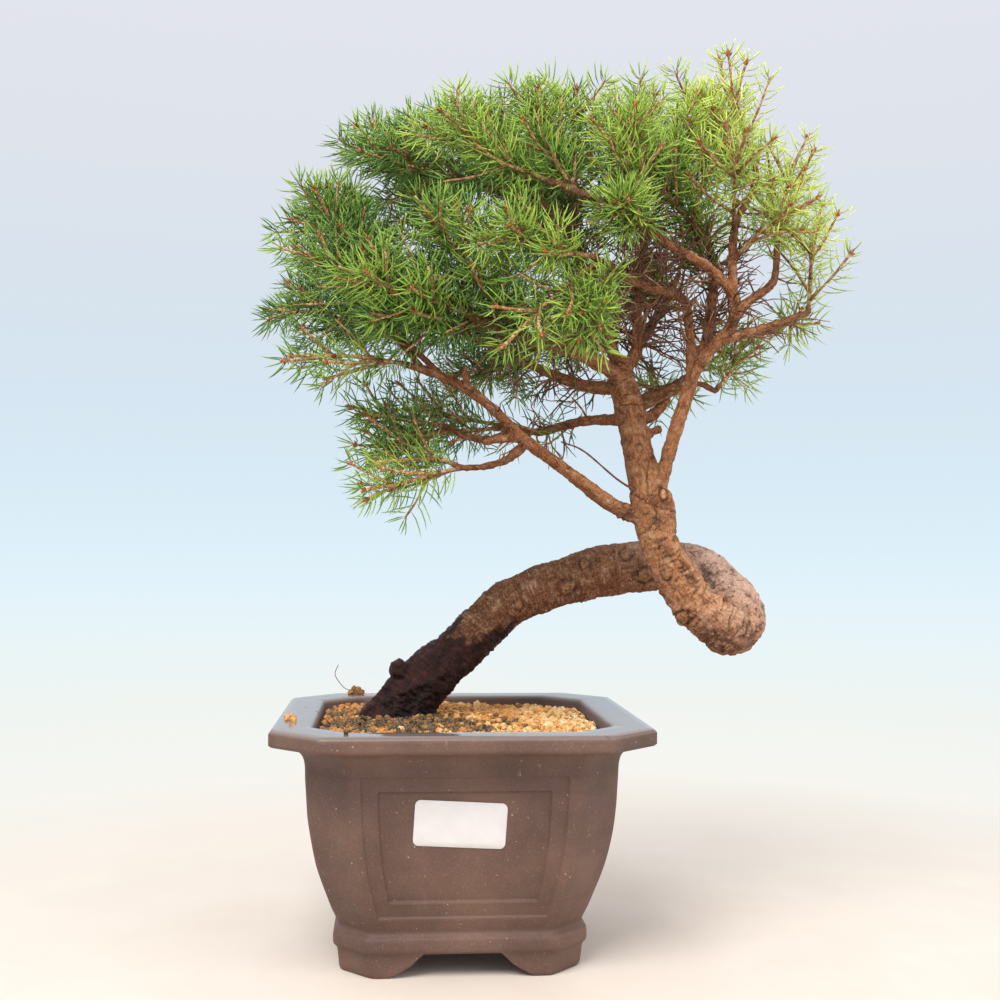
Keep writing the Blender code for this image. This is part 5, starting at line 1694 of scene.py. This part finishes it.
def random_turns(rng, count):
    """Rotation matrices, evenly spread."""
    w, x, y, z = units(rng.normal(size=(count, 4))).T
    rows = ((1 - 2 * (y * y + z * z), 2 * (x * y - z * w), 2 * (x * z + y * w)),
            (2 * (x * y + z * w), 1 - 2 * (x * x + z * z), 2 * (y * z - x * w)),
            (2 * (x * z - y * w), 2 * (y * z + x * w), 1 - 2 * (x * x + y * y)))
    return np.moveaxis(np.array(rows), -1, 0)


def add_granules(shape, centres, sizes, tints, rng):
    """Rough blunt grains."""
    ball, faces = icosahedron()
    count = len(centres)
    stretch = rng.uniform(0.75, 1.2, (count, 1, 3))
    uneven = rng.uniform(0.82, 1.12, (count, len(ball), 1))
    turns = random_turns(rng, count)
    grains = np.einsum("nij,nkj->nki", turns, ball[None] * stretch * uneven) * sizes[:, None, None]
    verts = grains + centres[:, None]
    starts = (np.arange(count) * len(ball))[:, None, None]
    shape.add(verts, [(starts + faces).reshape(-1, 3)], tint=np.repeat(tints, len(ball)))


def build_granules(akadama):
    """Loose grains on the bed, pale at the right and dark in front of the trunk."""
    rng = np.random.default_rng(GRANULE_SEED)
    line = np.arange(-GRANULE_HALF_WIDTH, GRANULE_HALF_WIDTH, GRANULE_PITCH)
    x, y = [grid.ravel() for grid in np.meshgrid(line, line)]
    x = x + rng.uniform(-0.5, 0.5, len(x)) * GRANULE_PITCH
    y = y + rng.uniform(-0.5, 0.5, len(y)) * GRANULE_PITCH
    keep = in_pot(x, y, GRANULE_HALF_WIDTH)
    x, y = x[keep], y[keep]
    count = len(x)
    sizes = rng.uniform(*GRANULE_SIZE, count) * rng.choice(GRANULE_GRADES, count, p=GRANULE_SHARES)
    z = soil_height(x, y) + 0.3 + rng.uniform(-0.8, 1.1, count)
    away = np.hypot((x - DARK_SOIL_MIDDLE[0]) / 1.3, y - DARK_SOIL_MIDDLE[1])
    patch = np.array([noise.noise(Vector((a, b, 0.0)) / 16.0) for a, b in zip(x, y)])
    dark = smoothstep(44.0, 14.0, away + 26.0 * patch) * 0.95
    tints = np.clip(0.50 + 0.0040 * x + rng.normal(0.0, 0.15, count) + 0.2 * patch, 0.1, 1.0)
    tints = np.where(rng.random(count) < dark, rng.uniform(0.0, 0.28, count), tints)
    shape = Shape("tint")
    for rows in (np.column_stack((x, y, z, sizes, tints)), np.array(STRAY_GRANULES)):
        add_granules(shape, rows[:, :3], rows[:, 3], rows[:, 4], rng)
    shape.piece("granules", [akadama], smooth=False)


# Stage, light and camera.


def stage_material():
    """Cream near the object and, by the distance from it, the backdrop's own colour far away."""
    nodes = Material("stage_floor")
    cream = nodes.tones(nodes.noise(60.0, 3.0), (219, 206, 193), (225, 213, 201))
    nodes.put(nodes.shader, {"Base Color": cream, "Roughness": 0.7})
    split = nodes.new("ShaderNodeSeparateXYZ")
    nodes.put(split, {"Vector": nodes.place})
    squares = [nodes.times(split.outputs[axis], split.outputs[axis]) for axis in "XY"]
    away = nodes.maths("SQRT", nodes.maths("ADD", *squares))
    nearness = nodes.span(nodes.maths("DIVIDE", 1.0, away), 0.0, 3.2)
    glow = nodes.ramp(nearness, (0.075, BACKDROP_COLORS[0][1]), *STAGE_TONES)
    far = nodes.made("ShaderNodeEmission", "Emission", {"Color": glow})
    blend = nodes.made("ShaderNodeMixShader", "Shader", {"Fac": nodes.span(away, 0.1, 0.5),
                                                         1: nodes.shader.outputs["BSDF"], 2: far})
    nodes.put(nodes.tree.nodes["Material Output"], {"Surface": blend})
    return nodes.material


def build_stage():
    """A pale floor that melts into the backdrop's colour far behind the object."""
    shape = Shape()
    shape.add([(x * FLOOR_REACH, y * FLOOR_REACH, 0.0) for x, y in ((-1, -1), (1, -1), (1, 1), (-1, 1))],
              [[(0, 1, 2, 3)]])
    floor = bpy.data.objects.new("floor", shape.mesh("floor", [stage_material()], False))
    bpy.context.scene.collection.objects.link(floor)


def build_world():
    """A pale backdrop, cream low down, light blue above it and grey-lilac at the top."""
    world = bpy.data.worlds.new("backdrop")
    world.use_nodes = True
    bpy.context.scene.world = world
    nodes = Nodes(world.node_tree)
    split = nodes.new("ShaderNodeSeparateXYZ")
    nodes.put(split, {"Vector": nodes.places["Generated"]})
    low = BACKDROP_COLORS[0][0]
    high = BACKDROP_COLORS[-1][0]
    stops = [((position - low) / (high - low), color) for position, color in BACKDROP_COLORS]
    color = nodes.ramp(nodes.span(split.outputs["Z"], low, high), *stops)
    nodes.put(nodes.tree.nodes["Background"], {"Color": color, "Strength": 1.0})


def build_light(name, location, size, power, color):
    lamp = bpy.data.lights.new(name, "AREA")
    lamp.shape = "DISK"
    lamp.size = size * MM
    lamp.energy = power
    lamp.color = color
    item = bpy.data.objects.new(name, lamp)
    start = Vector(place(location))
    item.location = start
    item.rotation_euler = (Vector(place(LIGHT_TARGET)) - start).to_track_quat("-Z", "Y").to_euler()
    bpy.context.scene.collection.objects.link(item)


def build_camera():
    """The photograph's view: from the front, a little left of square, level with the pot's upper half."""
    data = bpy.data.cameras.new("camera")
    data.sensor_width = CAMERA_SENSOR
    data.lens = CAMERA_LENS
    data.clip_start = 0.01
    data.clip_end = 50.0
    item = bpy.data.objects.new("camera", data)
    spin = Matrix.Rotation(CAMERA_YAW, 4, "Z") @ Matrix.Rotation(math.pi / 2.0 + CAMERA_PITCH, 4, "X")
    spin = spin @ Matrix.Rotation(CAMERA_ROLL, 4, "Z")
    item.matrix_world = Matrix.Translation(place(CAMERA_PLACE)) @ spin
    bpy.context.scene.collection.objects.link(item)
    bpy.context.scene.camera = item


def set_colour_view():
    view = bpy.context.scene.view_settings
    view.view_transform = "Standard"
    view.look = "None"


def grow():
    """Limbs and shoots by the part's own rule."""
    rods = Rods()
    rods.add([np.array(row[:3], float) for row in TRUNK], [row[3] for row in TRUNK], "tree")
    for route, radii in STUBS:
        rods.add([np.array(point, float) for point in route], radii, "tree")
    for name in BOUGHS:
        rods.add(*bough_line(name), "tree")
    limbs = grow_limbs(rods)
    grow_laterals(limbs, rods)
    return limbs


def build():
    build_camera()
    build_world()
    for name, light in LIGHTS.items():
        build_light(name, *light)
    build_stage()
    set_colour_view()
    limbs = grow()
    bark = bark_material()
    build_bark(limbs, bark)
    build_thin_wood(limbs, bark)
    build_dead_twigs(dead_twig_material())
    build_foliage(limbs, [needle_material(), twig_material(), bud_material()])
    build_pot(clay_material())
    build_label(paper_material())
    build_soil_bed(soil_bed_material())
    build_granules(granule_material())
    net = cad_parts["drain_mesh"]
    net.data.materials.clear()
    net.data.materials.append(net_material())


build()
